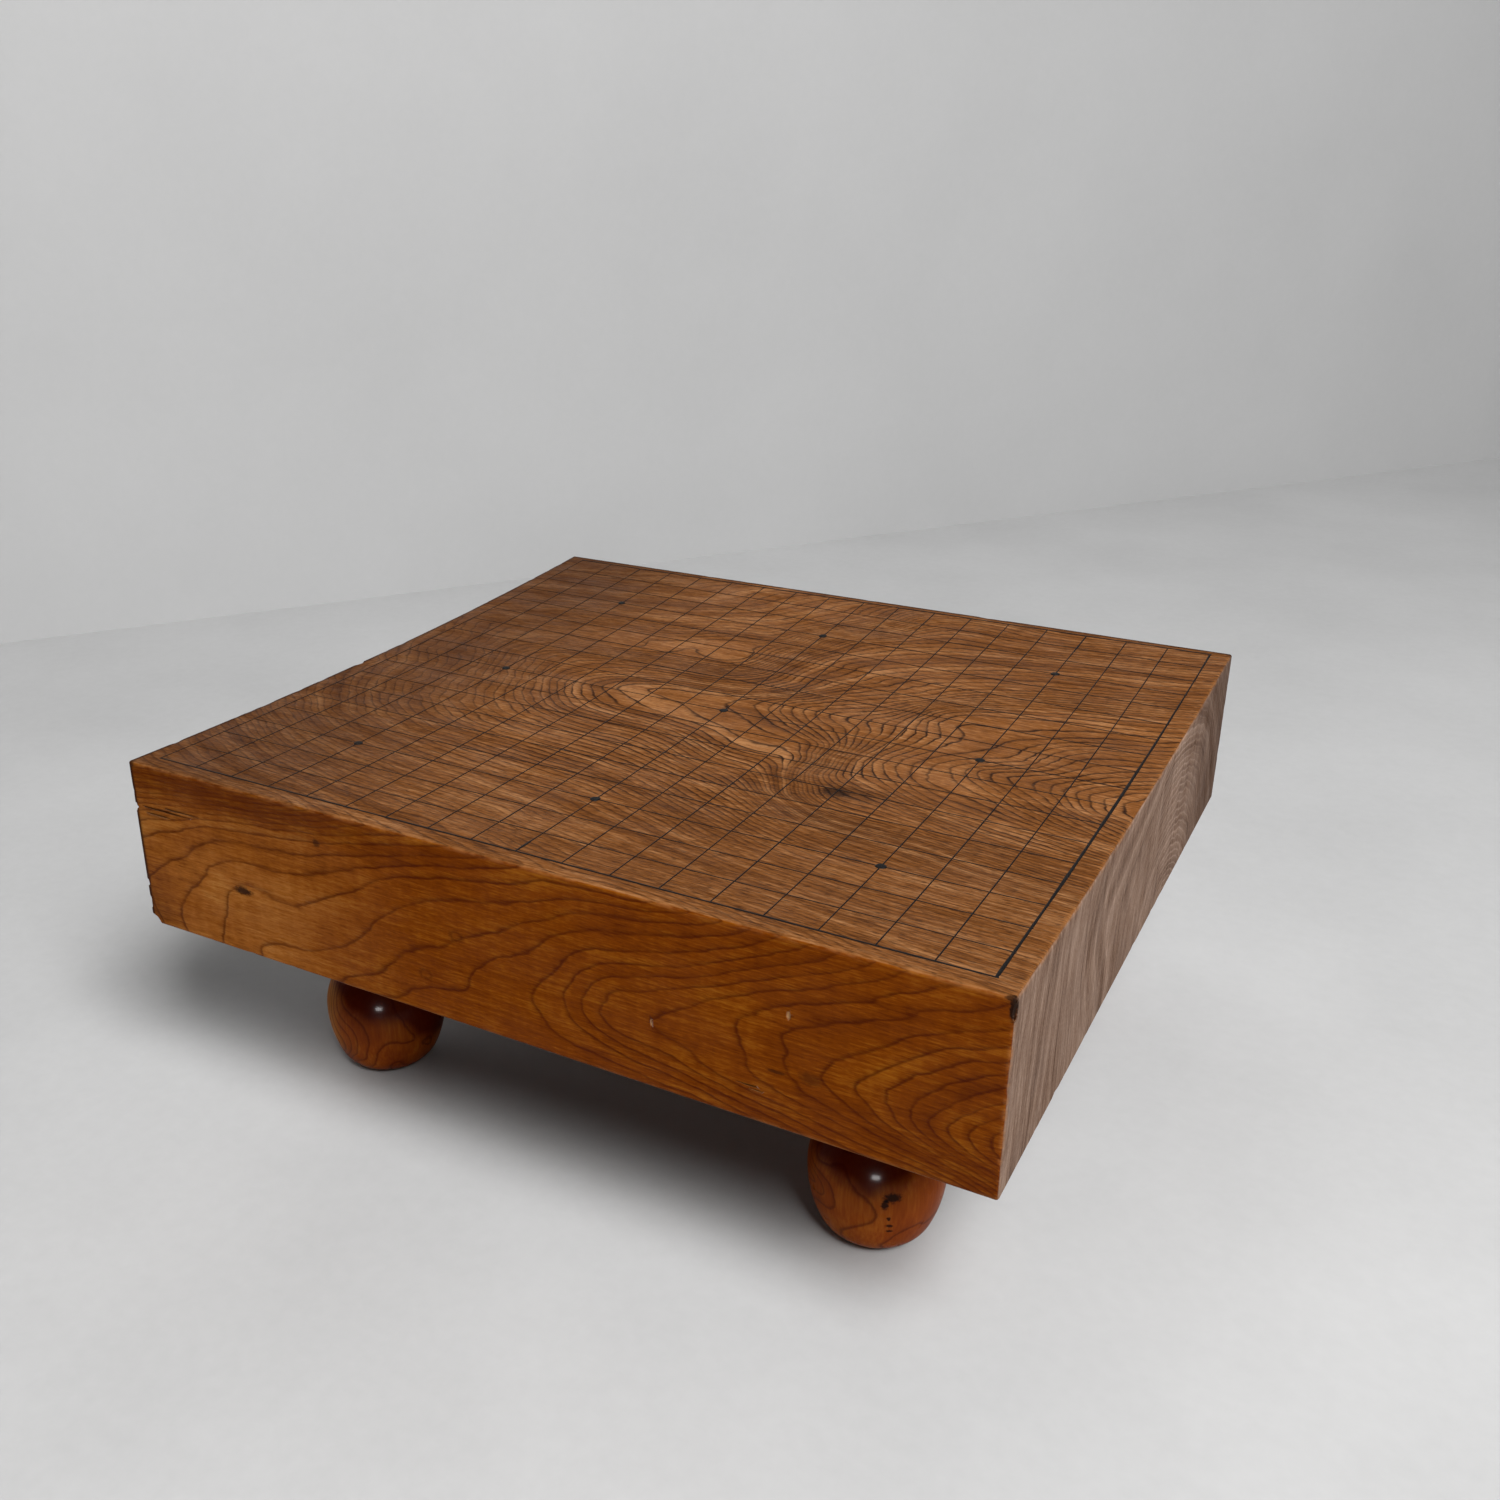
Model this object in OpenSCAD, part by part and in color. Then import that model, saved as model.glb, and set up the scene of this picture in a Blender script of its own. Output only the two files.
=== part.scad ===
// Go board: a solid wooden block with a dished playing face, ruled with raised
// lacquer, on four turned feet whose tenons push into blind mortises.
// Millimetres. The origin is on the floor under the middle of the block.
// X runs along the grain, left to right; -Y is the front; +Z is up.

/* [Block] */
// Length of the block along the grain
block_length = 449; // [440:1:480]
// Depth of the block from front to back
block_depth = 413; // [406:1:450]
// Thickness of the block at its front and back edges
block_thickness = 91; // [65:1:180]
// How far the dished top dips in the middle between front and back
cup_depth = 5; // [1:0.5:9]
// Radius that eases the long edges and the upright corners
edge_ease = 1.5; // [0.5:0.25:5]

/* [Grid] */
// Spacing of the column lines, along the length
column_spacing = 23.7; // [20:0.1:24]
// Spacing of the row lines, along the depth
row_spacing = 22; // [18:0.1:22.3]
// How far the grid sits behind the middle of the block
grid_setback = 2.3; // [-4:0.1:4]
// Width of a lacquer line
line_width = 0.9; // [0.5:0.1:1.5]
// Width of the heavy border line at the right end
heavy_line_width = 1.9; // [0.9:0.1:3]
// Height of the column lines, which are laid first
column_height = 0.15; // [0.1:0.05:0.2]
// Height of the row lines, which cross over the columns
row_height = 0.25; // [0.25:0.05:0.3]
// Diameter of a star point
star_diameter = 4; // [2:0.1:8]
// Height of a star point, which covers its crossing
star_height = 0.35; // [0.35:0.05:0.6]

/* [Feet] */
// Distance from the end face of the block to a foot's axis
foot_inset_x = 79; // [45:1:120]
// Distance from the front or back face of the block to a foot's axis
foot_inset_y = 84; // [45:1:120]
// Diameter of a foot at its belly
belly_diameter = 65; // [60:1:80]
// Height of the belly's widest ring above the floor
belly_height = 36; // [30:1:42]
// Radius of the side of the belly below its widest ring
side_radius = 64; // [58:1:80]
// Radius of the heel, where the side turns under to the flat base
heel_radius = 18; // [12:1:22]
// Diameter of the neck at its narrowest
neck_diameter = 40; // [34:1:48]
// Radius of the hollow of the neck
neck_hollow = 30; // [20:1:40]
// Diameter of the collar that bears on the block
collar_diameter = 52; // [50:1:60]
// Height of the straight part of the collar
collar_height = 14; // [4:1:30]

/* [Tenons] */
// Diameter of a foot's tenon
tenon_diameter = 30; // [20:1:36]
// Length of a foot's tenon above its collar
tenon_length = 40; // [25:1:50]
// Chamfer on the end of a tenon
tenon_chamfer = 2; // [0.5:0.5:4]
// Gap all round between a tenon and its mortise
tenon_clearance = 0.05; // [0.02:0.01:0.1]
// Spare depth of a mortise beyond the end of its tenon
mortise_spare = 2; // [1:0.5:6]

/* [Hidden] */
letters = ["a", "b", "c", "d", "e", "f", "g", "h", "j", "k", "l", "m", "n", "o", "p", "q", "r", "s", "t"];
line_count = len(letters);
middle_line = (line_count - 1) / 2;
last_line = line_count - 1;
// Star points stand on the fourth line from each border and on the middle line
star_lines = [3, middle_line, last_line - 3];
sides = [["front", -1], ["rear", 1]];
ends = [["left", -1], ["right", 1]];

column_names = [for (c = [0:last_line]) str("column_line_", letters[c])];
row_names = [for (r = [0:last_line]) str("row_line_", r + 1)];
star_names = [for (c = star_lines, r = star_lines) str("star_point_", letters[c], r + 1)];
foot_names = [for (s = sides, e = ends) str("foot_", s[0], "_", e[0])];

// A foot is stacked from its belly, its hollow neck and its collar
belly_radius = belly_diameter / 2;
neck_radius = neck_diameter / 2;
collar_radius = collar_diameter / 2;
neck_centre_r = neck_radius + neck_hollow;
neck_rise = sqrt(pow(belly_radius + neck_hollow, 2) - pow(neck_centre_r, 2));
flare_rise = sqrt(pow(neck_hollow, 2) - pow(neck_centre_r - collar_radius, 2));
neck_z = belly_height + neck_rise;
foot_height = neck_z + flare_rise + collar_height;
foot_x = block_length / 2 - foot_inset_x;
foot_y = block_depth / 2 - foot_inset_y;

// The heel rolls under inside the side's arc and is tangent to the floor
heel_centre_r = belly_radius - side_radius
    + sqrt(pow(side_radius - heel_radius, 2) - pow(belly_height - heel_radius, 2));
heel_angle = asin((belly_height - heel_radius) / (side_radius - heel_radius));
neck_angle = acos(neck_centre_r / (belly_radius + neck_hollow));
flare_angle = asin(flare_rise / neck_hollow);

// The dished top is part of a cylinder whose axis runs along X above the block
block_top = foot_height + block_thickness;
cup_radius = (pow(block_depth / 2, 2) + pow(cup_depth, 2)) / (2 * cup_depth);
cup_axis_z = block_top - cup_depth + cup_radius;

// Facets for round shapes, for the wide cup, and steps in a drawn arc
round_fn = 96;
cup_fn = 3600;
arc_steps = 12;
// How far a cutter runs past the face that it cuts
cut_past = 1;

wood_brown = [0.45, 0.24, 0.11];
foot_red_brown = [0.36, 0.13, 0.06];
lacquer_black = [0.06, 0.05, 0.05];

function column_x(c) = (c - middle_line) * column_spacing;
function row_y(r) = (r - middle_line) * row_spacing + grid_setback;
function column_width(c) = c == last_line ? heavy_line_width : line_width;
function cup_angle(y) = asin(y / cup_radius);

// Points of an arc about a centre, from one angle to another
function arc(centre, radius, from, to) = [
    for (i = [0:arc_steps])
        let (angle = from + (to - from) * i / arc_steps)
        centre + radius * [cos(angle), sin(angle)]
];

// Outline of a rectangle centred on the origin, with eased corners
function eased_rectangle(size, ease) = [
    for (i = [0:3])
        let (corner = [i == 0 || i == 3 ? 1 : -1, i < 2 ? 1 : -1])
        each arc([corner.x * (size.x / 2 - ease), corner.y * (size.y / 2 - ease)], ease, 90 * i, 90 * i + 90)
];

// Patch that follows the dished top, between two heights above it
module top_patch(x_from, x_to, y_from, y_to, low, high) {
    translate([0, 0, cup_axis_z])
        rotate([0, 90, 0])
            rotate_extrude(start = cup_angle(y_from), angle = cup_angle(y_to) - cup_angle(y_from), $fn = cup_fn)
                translate([cup_radius - high, x_from])
                    square([high - low, x_to - x_from]);
}

// Room for column line c where something crosses over it, reaching so far from row r
module column_notch(c, r, reach) {
    half = column_width(c) / 2;
    top_patch(
        column_x(c) - half,
        column_x(c) + half,
        row_y(r) - reach,
        row_y(r) + reach,
        -cut_past,
        column_height
    );
}

// Room for row line r under a star point, reaching so far from column c
module row_notch(c, r, reach) {
    half = line_width / 2;
    top_patch(
        column_x(c) - reach,
        column_x(c) + reach,
        row_y(r) - half,
        row_y(r) + half,
        -cut_past,
        row_height
    );
}

// Block with its dished top and the four mortises in its underside
module board_block() {
    color(wood_brown)
        difference() {
            intersection() {
                block_section_prism();
                block_plan_prism();
            }
            for (s = sides, e = ends)
                translate([e[1] * foot_x, s[1] * foot_y, foot_height - cut_past])
                    cylinder(
                        r = tenon_diameter / 2 + tenon_clearance,
                        h = tenon_length + mortise_spare + cut_past,
                        $fn = round_fn
                    );
        }
}

// Section of the block from front to back, drawn out along the grain
module block_section_prism() {
    rotate([90, 0, 90])
        linear_extrude(height = block_length, center = true)
            difference() {
                translate([0, foot_height + block_thickness / 2])
                    polygon(eased_rectangle([block_depth, block_thickness], edge_ease));
                translate([0, cup_axis_z])
                    circle(r = cup_radius, $fn = cup_fn);
            }
}

// Plan of the block with eased upright corners, drawn up past both faces
module block_plan_prism() {
    translate([0, 0, foot_height - cut_past])
        linear_extrude(height = block_thickness + 2 * cut_past)
            polygon(eased_rectangle([block_length, block_depth], edge_ease));
}

// Lacquer line that runs from front to back
module column_line(c) {
    half = column_width(c) / 2;
    color(lacquer_black)
        top_patch(
            column_x(c) - half,
            column_x(c) + half,
            row_y(0) - line_width / 2,
            row_y(last_line) + line_width / 2,
            0,
            column_height
        );
}

// Lacquer line along the length, notched where it crosses over the columns
module row_line(r) {
    color(lacquer_black)
        difference() {
            top_patch(
                column_x(0) - column_width(0) / 2,
                column_x(last_line) + column_width(last_line) / 2,
                row_y(r) - line_width / 2,
                row_y(r) + line_width / 2,
                0,
                row_height
            );
            for (c = [0:last_line])
                column_notch(c, r, line_width);
        }
}

// Lacquer dot on a crossing, notched over the two lines that meet there
module star_point(c, r) {
    color(lacquer_black)
        difference() {
            intersection() {
                top_patch(
                    column_x(c) - star_diameter,
                    column_x(c) + star_diameter,
                    row_y(r) - star_diameter,
                    row_y(r) + star_diameter,
                    0,
                    star_height
                );
                translate([column_x(c), row_y(r), foot_height])
                    cylinder(d = star_diameter, h = block_thickness + cut_past, $fn = round_fn);
            }
            column_notch(c, r, star_diameter);
            row_notch(c, r, star_diameter);
        }
}

// Turned foot with its tenon, in one piece
module foot(end, side) {
    belly_centre = [0, belly_height];
    side_centre = [belly_radius - side_radius, belly_height];
    neck_centre = [neck_centre_r, neck_z];
    tenon_radius = tenon_diameter / 2;
    tenon_top = foot_height + tenon_length;
    color(foot_red_brown)
        translate([end * foot_x, side * foot_y, 0])
            rotate_extrude($fn = round_fn)
                polygon(concat(
                    [[0, 0]],
                    arc([heel_centre_r, heel_radius], heel_radius, -90, -heel_angle),
                    arc(side_centre, side_radius, -heel_angle, 0),
                    arc(belly_centre, belly_radius, 0, neck_angle),
                    arc(neck_centre, neck_hollow, 180 + neck_angle, 180 - flare_angle),
                    [
                        [collar_radius, foot_height],
                        [tenon_radius, foot_height],
                        [tenon_radius, tenon_top - tenon_chamfer],
                        [tenon_radius - tenon_chamfer, tenon_top],
                        [0, tenon_top]
                    ]
                ));
}

board_block();
for (s = sides, e = ends)
    foot(e[1], s[1]);
for (c = [0:last_line])
    column_line(c);
for (r = [0:last_line])
    row_line(r);
for (c = star_lines, r = star_lines)
    star_point(c, r);
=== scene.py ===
"""Looks of the go board: a dished hardwood block ruled with lacquer, on four turned feet.

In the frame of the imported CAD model: X along the grain, -Y the front, +Z up.
Lengths are millimetres unless a comment says metres; new_piece turns them into metres.
"""
import math

import bpy
import numpy as np
from mathutils import Matrix, Vector, noise


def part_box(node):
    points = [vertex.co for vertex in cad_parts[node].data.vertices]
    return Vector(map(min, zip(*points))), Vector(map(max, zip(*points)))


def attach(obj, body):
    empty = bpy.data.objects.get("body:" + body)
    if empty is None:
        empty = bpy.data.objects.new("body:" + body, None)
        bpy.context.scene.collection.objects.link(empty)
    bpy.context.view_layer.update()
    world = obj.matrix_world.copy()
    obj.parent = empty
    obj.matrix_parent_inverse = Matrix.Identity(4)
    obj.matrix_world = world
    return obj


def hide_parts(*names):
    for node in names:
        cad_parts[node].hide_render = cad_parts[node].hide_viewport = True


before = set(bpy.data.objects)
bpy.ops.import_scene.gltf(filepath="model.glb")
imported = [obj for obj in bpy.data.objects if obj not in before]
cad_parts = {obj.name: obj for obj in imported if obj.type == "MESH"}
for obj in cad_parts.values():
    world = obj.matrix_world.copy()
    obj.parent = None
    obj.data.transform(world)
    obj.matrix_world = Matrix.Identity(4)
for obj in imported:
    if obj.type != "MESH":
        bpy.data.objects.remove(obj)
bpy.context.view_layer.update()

# One millimetre in metres
MM = 0.001

# Sizes of the block, from the CAD node
block_low, block_high = (np.array(corner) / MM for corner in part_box("board_block"))
HALF_LENGTH = (block_high[0] - block_low[0]) / 2
HALF_DEPTH = (block_high[1] - block_low[1]) / 2
UNDERSIDE = block_low[2]
BLOCK_TOP = block_high[2]
THICKNESS = BLOCK_TOP - UNDERSIDE
CUP_DEPTH = 5.0
CUP_RADIUS = (HALF_DEPTH**2 + CUP_DEPTH**2) / (2 * CUP_DEPTH)

# Sizes of a foot and its tenon, as in the CAD part
FOOT_X = 145.5
FOOT_Y = 122.5
BELLY_RADIUS = 32.5
BELLY_HEIGHT = 36.0
SIDE_RADIUS = 64.0
HEEL_RADIUS = 18.0
NECK_RADIUS = 20.0
NECK_HOLLOW = 30.0
COLLAR_RADIUS = 26.0
TENON_RADIUS = 15.0
TENON_LENGTH = 40.0
TENON_CHAMFER = 2.0
MORTISE_RADIUS = 15.05
MORTISE_DEPTH = 42.0

COLUMN_LETTERS = "abcdefghjklmnopqrst"
LINE_COUNT = len(COLUMN_LETTERS)
HEAVY_COLUMN = "t"
STAR_COLUMNS = "dkq"
STAR_ROWS = (4, 10, 16)
FOOT_NAMES = ("foot_front_left", "foot_front_right", "foot_rear_left", "foot_rear_right")

# Growth rings of the block as drawn curves, ring number: points in millimetres.
# On the front face a point is (x, height above the underside).
FRONT_RINGS = {
    89: [(-222, 88), (-195, 90)],
    85: [(-222, 77), (-175, 82), (-130, 87)],
    81: [(-222, 64), (-200, 68), (-175, 73), (-150, 76), (-125, 79), (-100, 83), (-80, 88)],
    79: [(-222, 50), (-205, 55), (-190, 60), (-178, 65), (-160, 67), (-140, 70), (-120, 73),
         (-100, 76), (-80, 80), (-55, 85)],
    78: [(-222, 32), (-210, 34), (-205, 40), (-195, 44), (-185, 50), (-175, 55), (-160, 59),
         (-145, 61), (-125, 63), (-105, 67), (-90, 71), (-75, 75), (-50, 80), (-25, 86)],
    77: [(-202, 5), (-197, 18), (-193, 27), (-183, 33), (-175, 41), (-167, 48), (-160, 50),
         (-145, 50), (-130, 51), (-118, 55), (-108, 58), (-95, 62), (-80, 67), (-65, 72),
         (-45, 77), (-20, 82), (0, 87)],
    76: [(-172, 5), (-171, 12), (-166, 25), (-161, 34), (-148, 37), (-140, 35), (-128, 33),
         (-117, 35), (-105, 42), (-95, 49), (-85, 55), (-75, 62), (-65, 67), (-50, 70),
         (-30, 74), (-10, 79), (10, 83), (30, 88)],
    75: [(-150, 4), (-140, 9), (-125, 11), (-110, 14), (-100, 19), (-88, 25), (-79, 31),
         (-73, 40), (-68, 47), (-63, 51), (-50, 56), (-35, 61), (-20, 64), (0, 69), (12, 71),
         (22, 76), (32, 79), (60, 83), (80, 87)],
    74: [(-92, 3), (-83, 9), (-72, 13), (-68, 19), (-62, 24), (-57, 30), (-48, 34), (-33, 37),
         (-26, 43), (-12, 49), (0, 56), (12, 63), (25, 69), (38, 75), (55, 77), (80, 82),
         (105, 90)],
    73: [(-65, 4), (-54, 10), (-47, 17), (-35, 17), (-24, 19), (-18, 24), (-17, 32), (-9, 38),
         (-4, 43), (6, 44), (13, 48), (20, 57), (30, 63), (38, 69), (50, 71), (65, 75),
         (85, 79), (108, 86)],
    72: [(62, 5), (45, 8), (26, 12), (21, 18), (14, 25), (20, 33), (26, 41), (33, 49), (37, 56),
         (48, 60), (60, 63), (75, 67), (90, 71), (105, 77), (124, 87)],
    71: [(120, 3), (95, 8), (75, 11), (60, 13), (45, 17), (35, 22), (33, 28), (36, 38), (40, 47),
         (50, 53), (65, 57), (80, 62), (100, 70), (120, 78), (145, 90)],
    70: [(125, 5), (95, 11), (75, 15), (60, 17), (48, 20), (39, 24), (40, 32), (44, 42), (51, 49),
         (65, 53), (80, 57), (100, 64), (120, 72), (150, 84)],
    69: [(150, 5), (120, 11), (100, 14), (88, 18), (78, 21), (65, 22), (55, 24), (51, 29),
         (53, 37), (57, 41), (66, 43), (75, 47), (82, 51), (95, 55), (105, 61), (115, 65),
         (125, 70), (140, 75), (155, 82)],
    68: [(170, 6), (150, 10), (125, 14), (110, 16), (99, 21), (95, 28), (90, 34), (84, 40),
         (90, 45), (98, 49), (104, 55), (120, 61), (135, 67), (150, 73), (165, 79), (178, 86)],
    67: [(190, 6), (160, 12), (135, 17), (122, 22), (120, 30), (117, 36), (113, 42), (116, 47),
         (124, 51), (134, 57), (150, 65), (165, 70), (180, 77), (200, 87)],
    66: [(200, 8), (170, 15), (150, 21), (138, 27), (136, 33), (133, 40), (132, 46), (136, 51),
         (144, 54), (156, 60), (172, 66), (190, 75), (222, 86)],
    65: [(212, 8), (190, 14), (170, 19), (155, 24), (150, 31), (153, 38), (160, 44), (170, 50),
         (180, 57), (190, 63), (200, 68), (222, 76)],
    63: [(222, 8), (200, 14), (188, 18), (180, 24), (178, 31), (182, 39), (192, 47), (203, 55),
         (212, 60), (222, 63)],
    61: [(222, 12), (213, 14), (205, 18), (199, 23), (198, 30), (204, 37), (210, 43), (215, 48),
         (222, 49)],
}
# On the dished top a point is (x, y).
TOP_RINGS = {
    0: [(224, -28), (220, -21), (219.5, -15), (221, -9), (224, -4)],
    1: [(216, -31), (212, -24), (210, -15), (211.5, -10), (215, -5), (224, 2)],
    2: [(206, -29), (202, -23), (200.4, -17), (200.7, -12), (203, -9), (208, -5), (214.5, -0.5), (224, 7)],
    3: [(201, -29), (197.5, -21), (195.5, -15), (196, -10), (198.5, -5), (202, -0.5), (212, 6), (224, 12)],
    4: [(196, -30), (192, -19.5), (190, -14), (190.5, -9), (193.5, -3.5), (198.5, 1), (210, 10), (224, 17)],
    5: [(197, -34), (190, -23), (185, -17), (182.4, -13), (183.3, -9), (188, -4.5), (192, 0.5), (200, 8),
        (212, 16), (224, 22)],
    6: [(212, -44), (199, -37), (191, -32), (185, -27), (179.5, -21), (175.8, -16), (174.8, -12),
        (178.6, -7), (184, -2.5), (190, 2), (198, 11), (210, 21), (224, 28)],
    7: [(220, -54), (206, -48.5), (193.5, -41), (186, -35.5), (177.5, -29), (170, -23), (165.4, -17.5),
        (164, -13), (164.5, -9), (168, -5.5), (176, 0.3), (182.5, 4), (190, 13), (200, 24), (212, 30),
        (224, 34)],
    8: [(214, -55), (201, -49.5), (191, -45), (181.5, -38), (173, -32.5), (164.5, -27), (158, -21.5),
        (152.7, -16.5), (150, -13), (150.4, -10), (155, -6.3), (161.6, -2.5), (170, 2), (178, 10),
        (186, 22), (198, 32), (224, 40)],
    9: [(214, -58), (199, -52.5), (187, -47), (177.5, -40), (169, -33.5), (161.6, -26), (154, -20.5),
        (147.5, -16.5), (145.2, -14), (145.6, -11), (149.5, -7), (156, -2.5), (162, 1), (168, 6), (173, 14),
        (178, 25), (192, 37), (224, 46)],
    10: [(214, -61), (199, -55), (185, -49.5), (175, -43), (165.5, -36.5), (158, -31), (149.5, -24),
         (143, -18.5), (140.5, -15), (142, -9), (146.5, -4.5), (153, -0.5), (159, 2.5), (165, 8), (168, 16),
         (172, 28), (186, 41), (224, 52)],
    11: [(214, -64), (199, -58), (185, -52.5), (173, -47), (163.5, -40), (156, -36.5), (148.5, -32.5),
         (143, -28), (139, -23), (135.3, -18.5), (134.8, -15), (135.3, -10), (138, -5.5), (142, -1.6),
         (147.5, 2), (156, 6), (163, 12), (164, 20), (167, 31), (180, 44), (224, 57)],
    12: [(214, -67), (192, -60.5), (173, -53.5), (160, -48), (149.5, -44), (140, -40.5), (133.5, -38),
         (128, -34.5), (124, -30), (123, -26), (124.5, -22), (123.5, -17.5), (124, -12), (128, -7),
         (134.5, -2.5), (141, 4), (147.5, 9), (153, 11.5), (158, 14.5), (160, 19), (160, 25), (161, 31),
         (167, 39), (184, 49), (224, 63)],
    13: [(214, -70), (192, -63), (173, -57), (154, -51.5), (140, -47), (131.5, -43), (124, -38.5),
         (119.5, -33.5), (116.5, -28), (116, -24), (116.5, -18.5), (117.5, -11), (120, -4), (128, 3),
         (131.5, 6), (135.3, 9.7), (134, 12.5), (134.5, 15.5), (137, 18), (142, 20), (145.5, 25), (145, 30),
         (144.5, 34), (150.5, 37), (158, 39), (166.5, 42.5), (173, 46), (192, 55), (224, 69)],
    14: [(214, -73), (192, -66.5), (163.5, -60), (145, -54.5), (133.5, -50.5), (124, -45), (117.5, -39),
         (112.7, -32.6), (110, -26), (109.4, -21.4), (111, -15), (113.6, -7), (117, 1), (121, 9.7),
         (121.6, 13.5), (123, 18), (126.8, 23), (128, 25.7), (126.8, 27.6), (122, 29.5), (118, 34),
         (118, 40), (122, 43), (130, 43.6), (135.3, 46), (142, 47.5), (150.5, 52), (158, 55), (166.5, 58),
         (190, 66), (224, 75)],
    15: [(214, -76), (163.5, -64.6), (144.7, -59), (128.7, -53.4), (120.2, -47.7), (113.6, -41),
         (108, -34.5), (104.2, -28), (101.5, -20.5), (103, -13), (106, -5), (109, 3), (110.5, 9.7),
         (112, 13.5), (114, 19), (114.6, 24), (112.7, 26.6), (110, 29.5), (108, 36), (109, 44), (113, 50),
         (119.3, 54), (128, 57.7), (143, 62.4), (154, 64.5), (175, 70), (224, 82)],
    16: [(214, -79), (170, -70), (150, -65), (130, -58.5), (118, -52), (110, -45), (104, -38), (99, -30),
         (97, -20), (100, -10), (104, 0), (107.5, 9.7), (108.5, 15.5), (109, 21), (107.5, 25), (103, 32),
         (101, 42), (104, 53), (112, 60), (130, 66), (150, 71), (224, 89)],
    22: [(222, -95), (150, -81), (120, -72), (100, -64), (88, -57), (81, -50), (78, -40), (77.5, -30),
         (79, -15), (79, -7), (78, -1), (77.5, 5), (76, 10), (73, 13), (69, 18), (63, 21), (60, 25),
         (70, 32), (80, 38), (88, 47), (100, 64), (125, 84), (160, 97), (222, 112)],
    23: [(222, -98), (150, -84), (110, -74), (90, -66), (78, -55), (74, -45), (73, -30), (73, -15), (72, 0),
         (70, 7), (68.5, 11), (64, 14), (58, 17), (52, 23), (60, 31), (75, 42)],
    25: [(222, -104), (150, -90), (105, -83), (85, -76), (74, -62), (69, -45), (67, -25), (63, -5), (57, 1),
         (50, 9), (44, 15), (40, 20), (39, 25), (50, 36), (65, 49), (90, 68), (120, 92), (160, 106),
         (222, 122)],
    26: [(61, -7), (54, 0), (45, 6), (38, 11), (34, 15), (30.5, 20), (30, 25), (40, 34)],
    27: [(70, -15), (64, -10), (55, -4), (45, 2), (37, 7), (32, 11), (28, 16), (24.5, 21), (25, 26),
         (34, 36)],
    28: [(68, -19), (60, -13), (50, -7), (40, -1), (33, 4), (29, 6), (26, 9), (23, 13), (20, 17),
         (18.5, 21), (20, 27)],
    29: [(222, -113), (150, -98), (100, -91), (78, -78), (70, -60), (69, -40), (68, -25), (63, -20),
         (55, -16), (45, -10), (36, -5), (30, -1), (26, 2), (22, 5), (19, 8), (16, 13), (13.5, 17),
         (13, 23), (20, 32), (35, 48), (50, 64), (70, 84), (100, 106), (150, 122), (222, 138)],
    30: [(71, -45), (69, -38), (65, -32), (61, -28), (56, -24), (50.5, -20), (46, -18), (39, -17),
         (30, -14), (25, -11), (22, -9), (17, -4), (10, -1), (5, 0), (0, 3), (-3, 10), (-2, 18), (6, 27)],
    31: [(59, -40), (53, -37), (44, -34), (36, -31), (28, -28), (22, -25), (18, -23), (13, -21), (7, -18),
         (2, -15), (-2, -12.5), (-8, -12), (-12, -8), (-14, -5.5), (-19, -3), (-21, 0), (-24, 2.5),
         (-28, 2.5), (-35, 5), (-40, 8), (-43, 11), (-43.5, 15), (-41, 18), (-34, 17), (-24, 16), (-22, 18),
         (-16, 20), (-5, 24)],
    32: [(60, -46), (45, -40), (28, -34), (15, -28), (0, -22), (-16, -18), (-30, -15), (-39, -12),
         (-43, -10), (-48, -7), (-51, -3), (-55, -0.5), (-61, 3), (-65, 6), (-66, 8), (-64, 12), (-60, 15),
         (-54, 18), (-50, 20), (-38, 22), (-20, 24)],
    33: [(222, -121), (170, -110), (125, -102), (95, -95), (78, -84), (70, -68), (62, -54), (45, -46),
         (25, -40), (14, -36), (0, -28), (-15, -24), (-30, -21), (-47, -18), (-53, -15), (-59, -11),
         (-65, -7), (-70, -2), (-77, 4), (-70, 14), (-58, 20), (-45, 24), (-20, 27), (0, 31), (15, 41),
         (28, 57), (38, 82), (60, 112), (100, 132), (150, 146), (222, 160)],
    37: [(150, -112), (100, -104), (75, -90), (55, -70), (40, -62), (0, -44), (-40, -35), (-70, -31),
         (-82, -24), (-92, -12), (-98, 5), (-92, 20), (-75, 30), (-50, 35), (-20, 37), (0, 45), (9, 62),
         (14, 88), (30, 120), (60, 140), (100, 152), (222, 176)],
    41: [(222, -134), (150, -121), (100, -111), (50, -83), (0, -61), (-50, -51), (-75, -45), (-95, -35),
         (-108, -20), (-119, 5), (-122, 25), (-110, 40), (-80, 46), (-50, 49), (-25, 51), (-10, 60),
         (-3, 80), (2, 102), (15, 130), (50, 160), (100, 174), (222, 194)],
    46: [(222, -146), (150, -135), (100, -125), (50, -103), (0, -82), (-60, -70), (-95, -63), (-115, -54),
         (-133, -30), (-145, 5), (-153, 28), (-145, 44), (-120, 51), (-90, 54), (-65, 57), (-50, 60),
         (-35, 59), (-18, 66), (-11, 85), (-9, 105), (5, 138), (40, 178), (80, 200)],
    51: [(222, -158), (150, -150), (100, -141), (50, -122), (0, -101), (-50, -92), (-100, -85), (-130, -76),
         (-150, -58), (-162, -30), (-168, 5), (-178, 30), (-184, 55), (-176, 68), (-160, 75), (-140, 78),
         (-122, 86), (-110, 92), (-90, 92), (-70, 98), (-55, 108), (-42, 113), (-30, 110), (-20, 116),
         (0, 145), (25, 178)],
    54: [(-195, 5), (-200, 30), (-208, 52), (-211, 68), (-200, 79), (-180, 84), (-165, 90), (-150, 98),
         (-125, 102), (-100, 104), (-75, 112), (-50, 122), (-25, 132), (-5, 158), (12, 190)],
    56: [(222, -173), (150, -166), (100, -157), (50, -140), (0, -120), (-50, -112), (-100, -104),
         (-140, -95), (-170, -76), (-188, -50), (-198, -10)],
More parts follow.
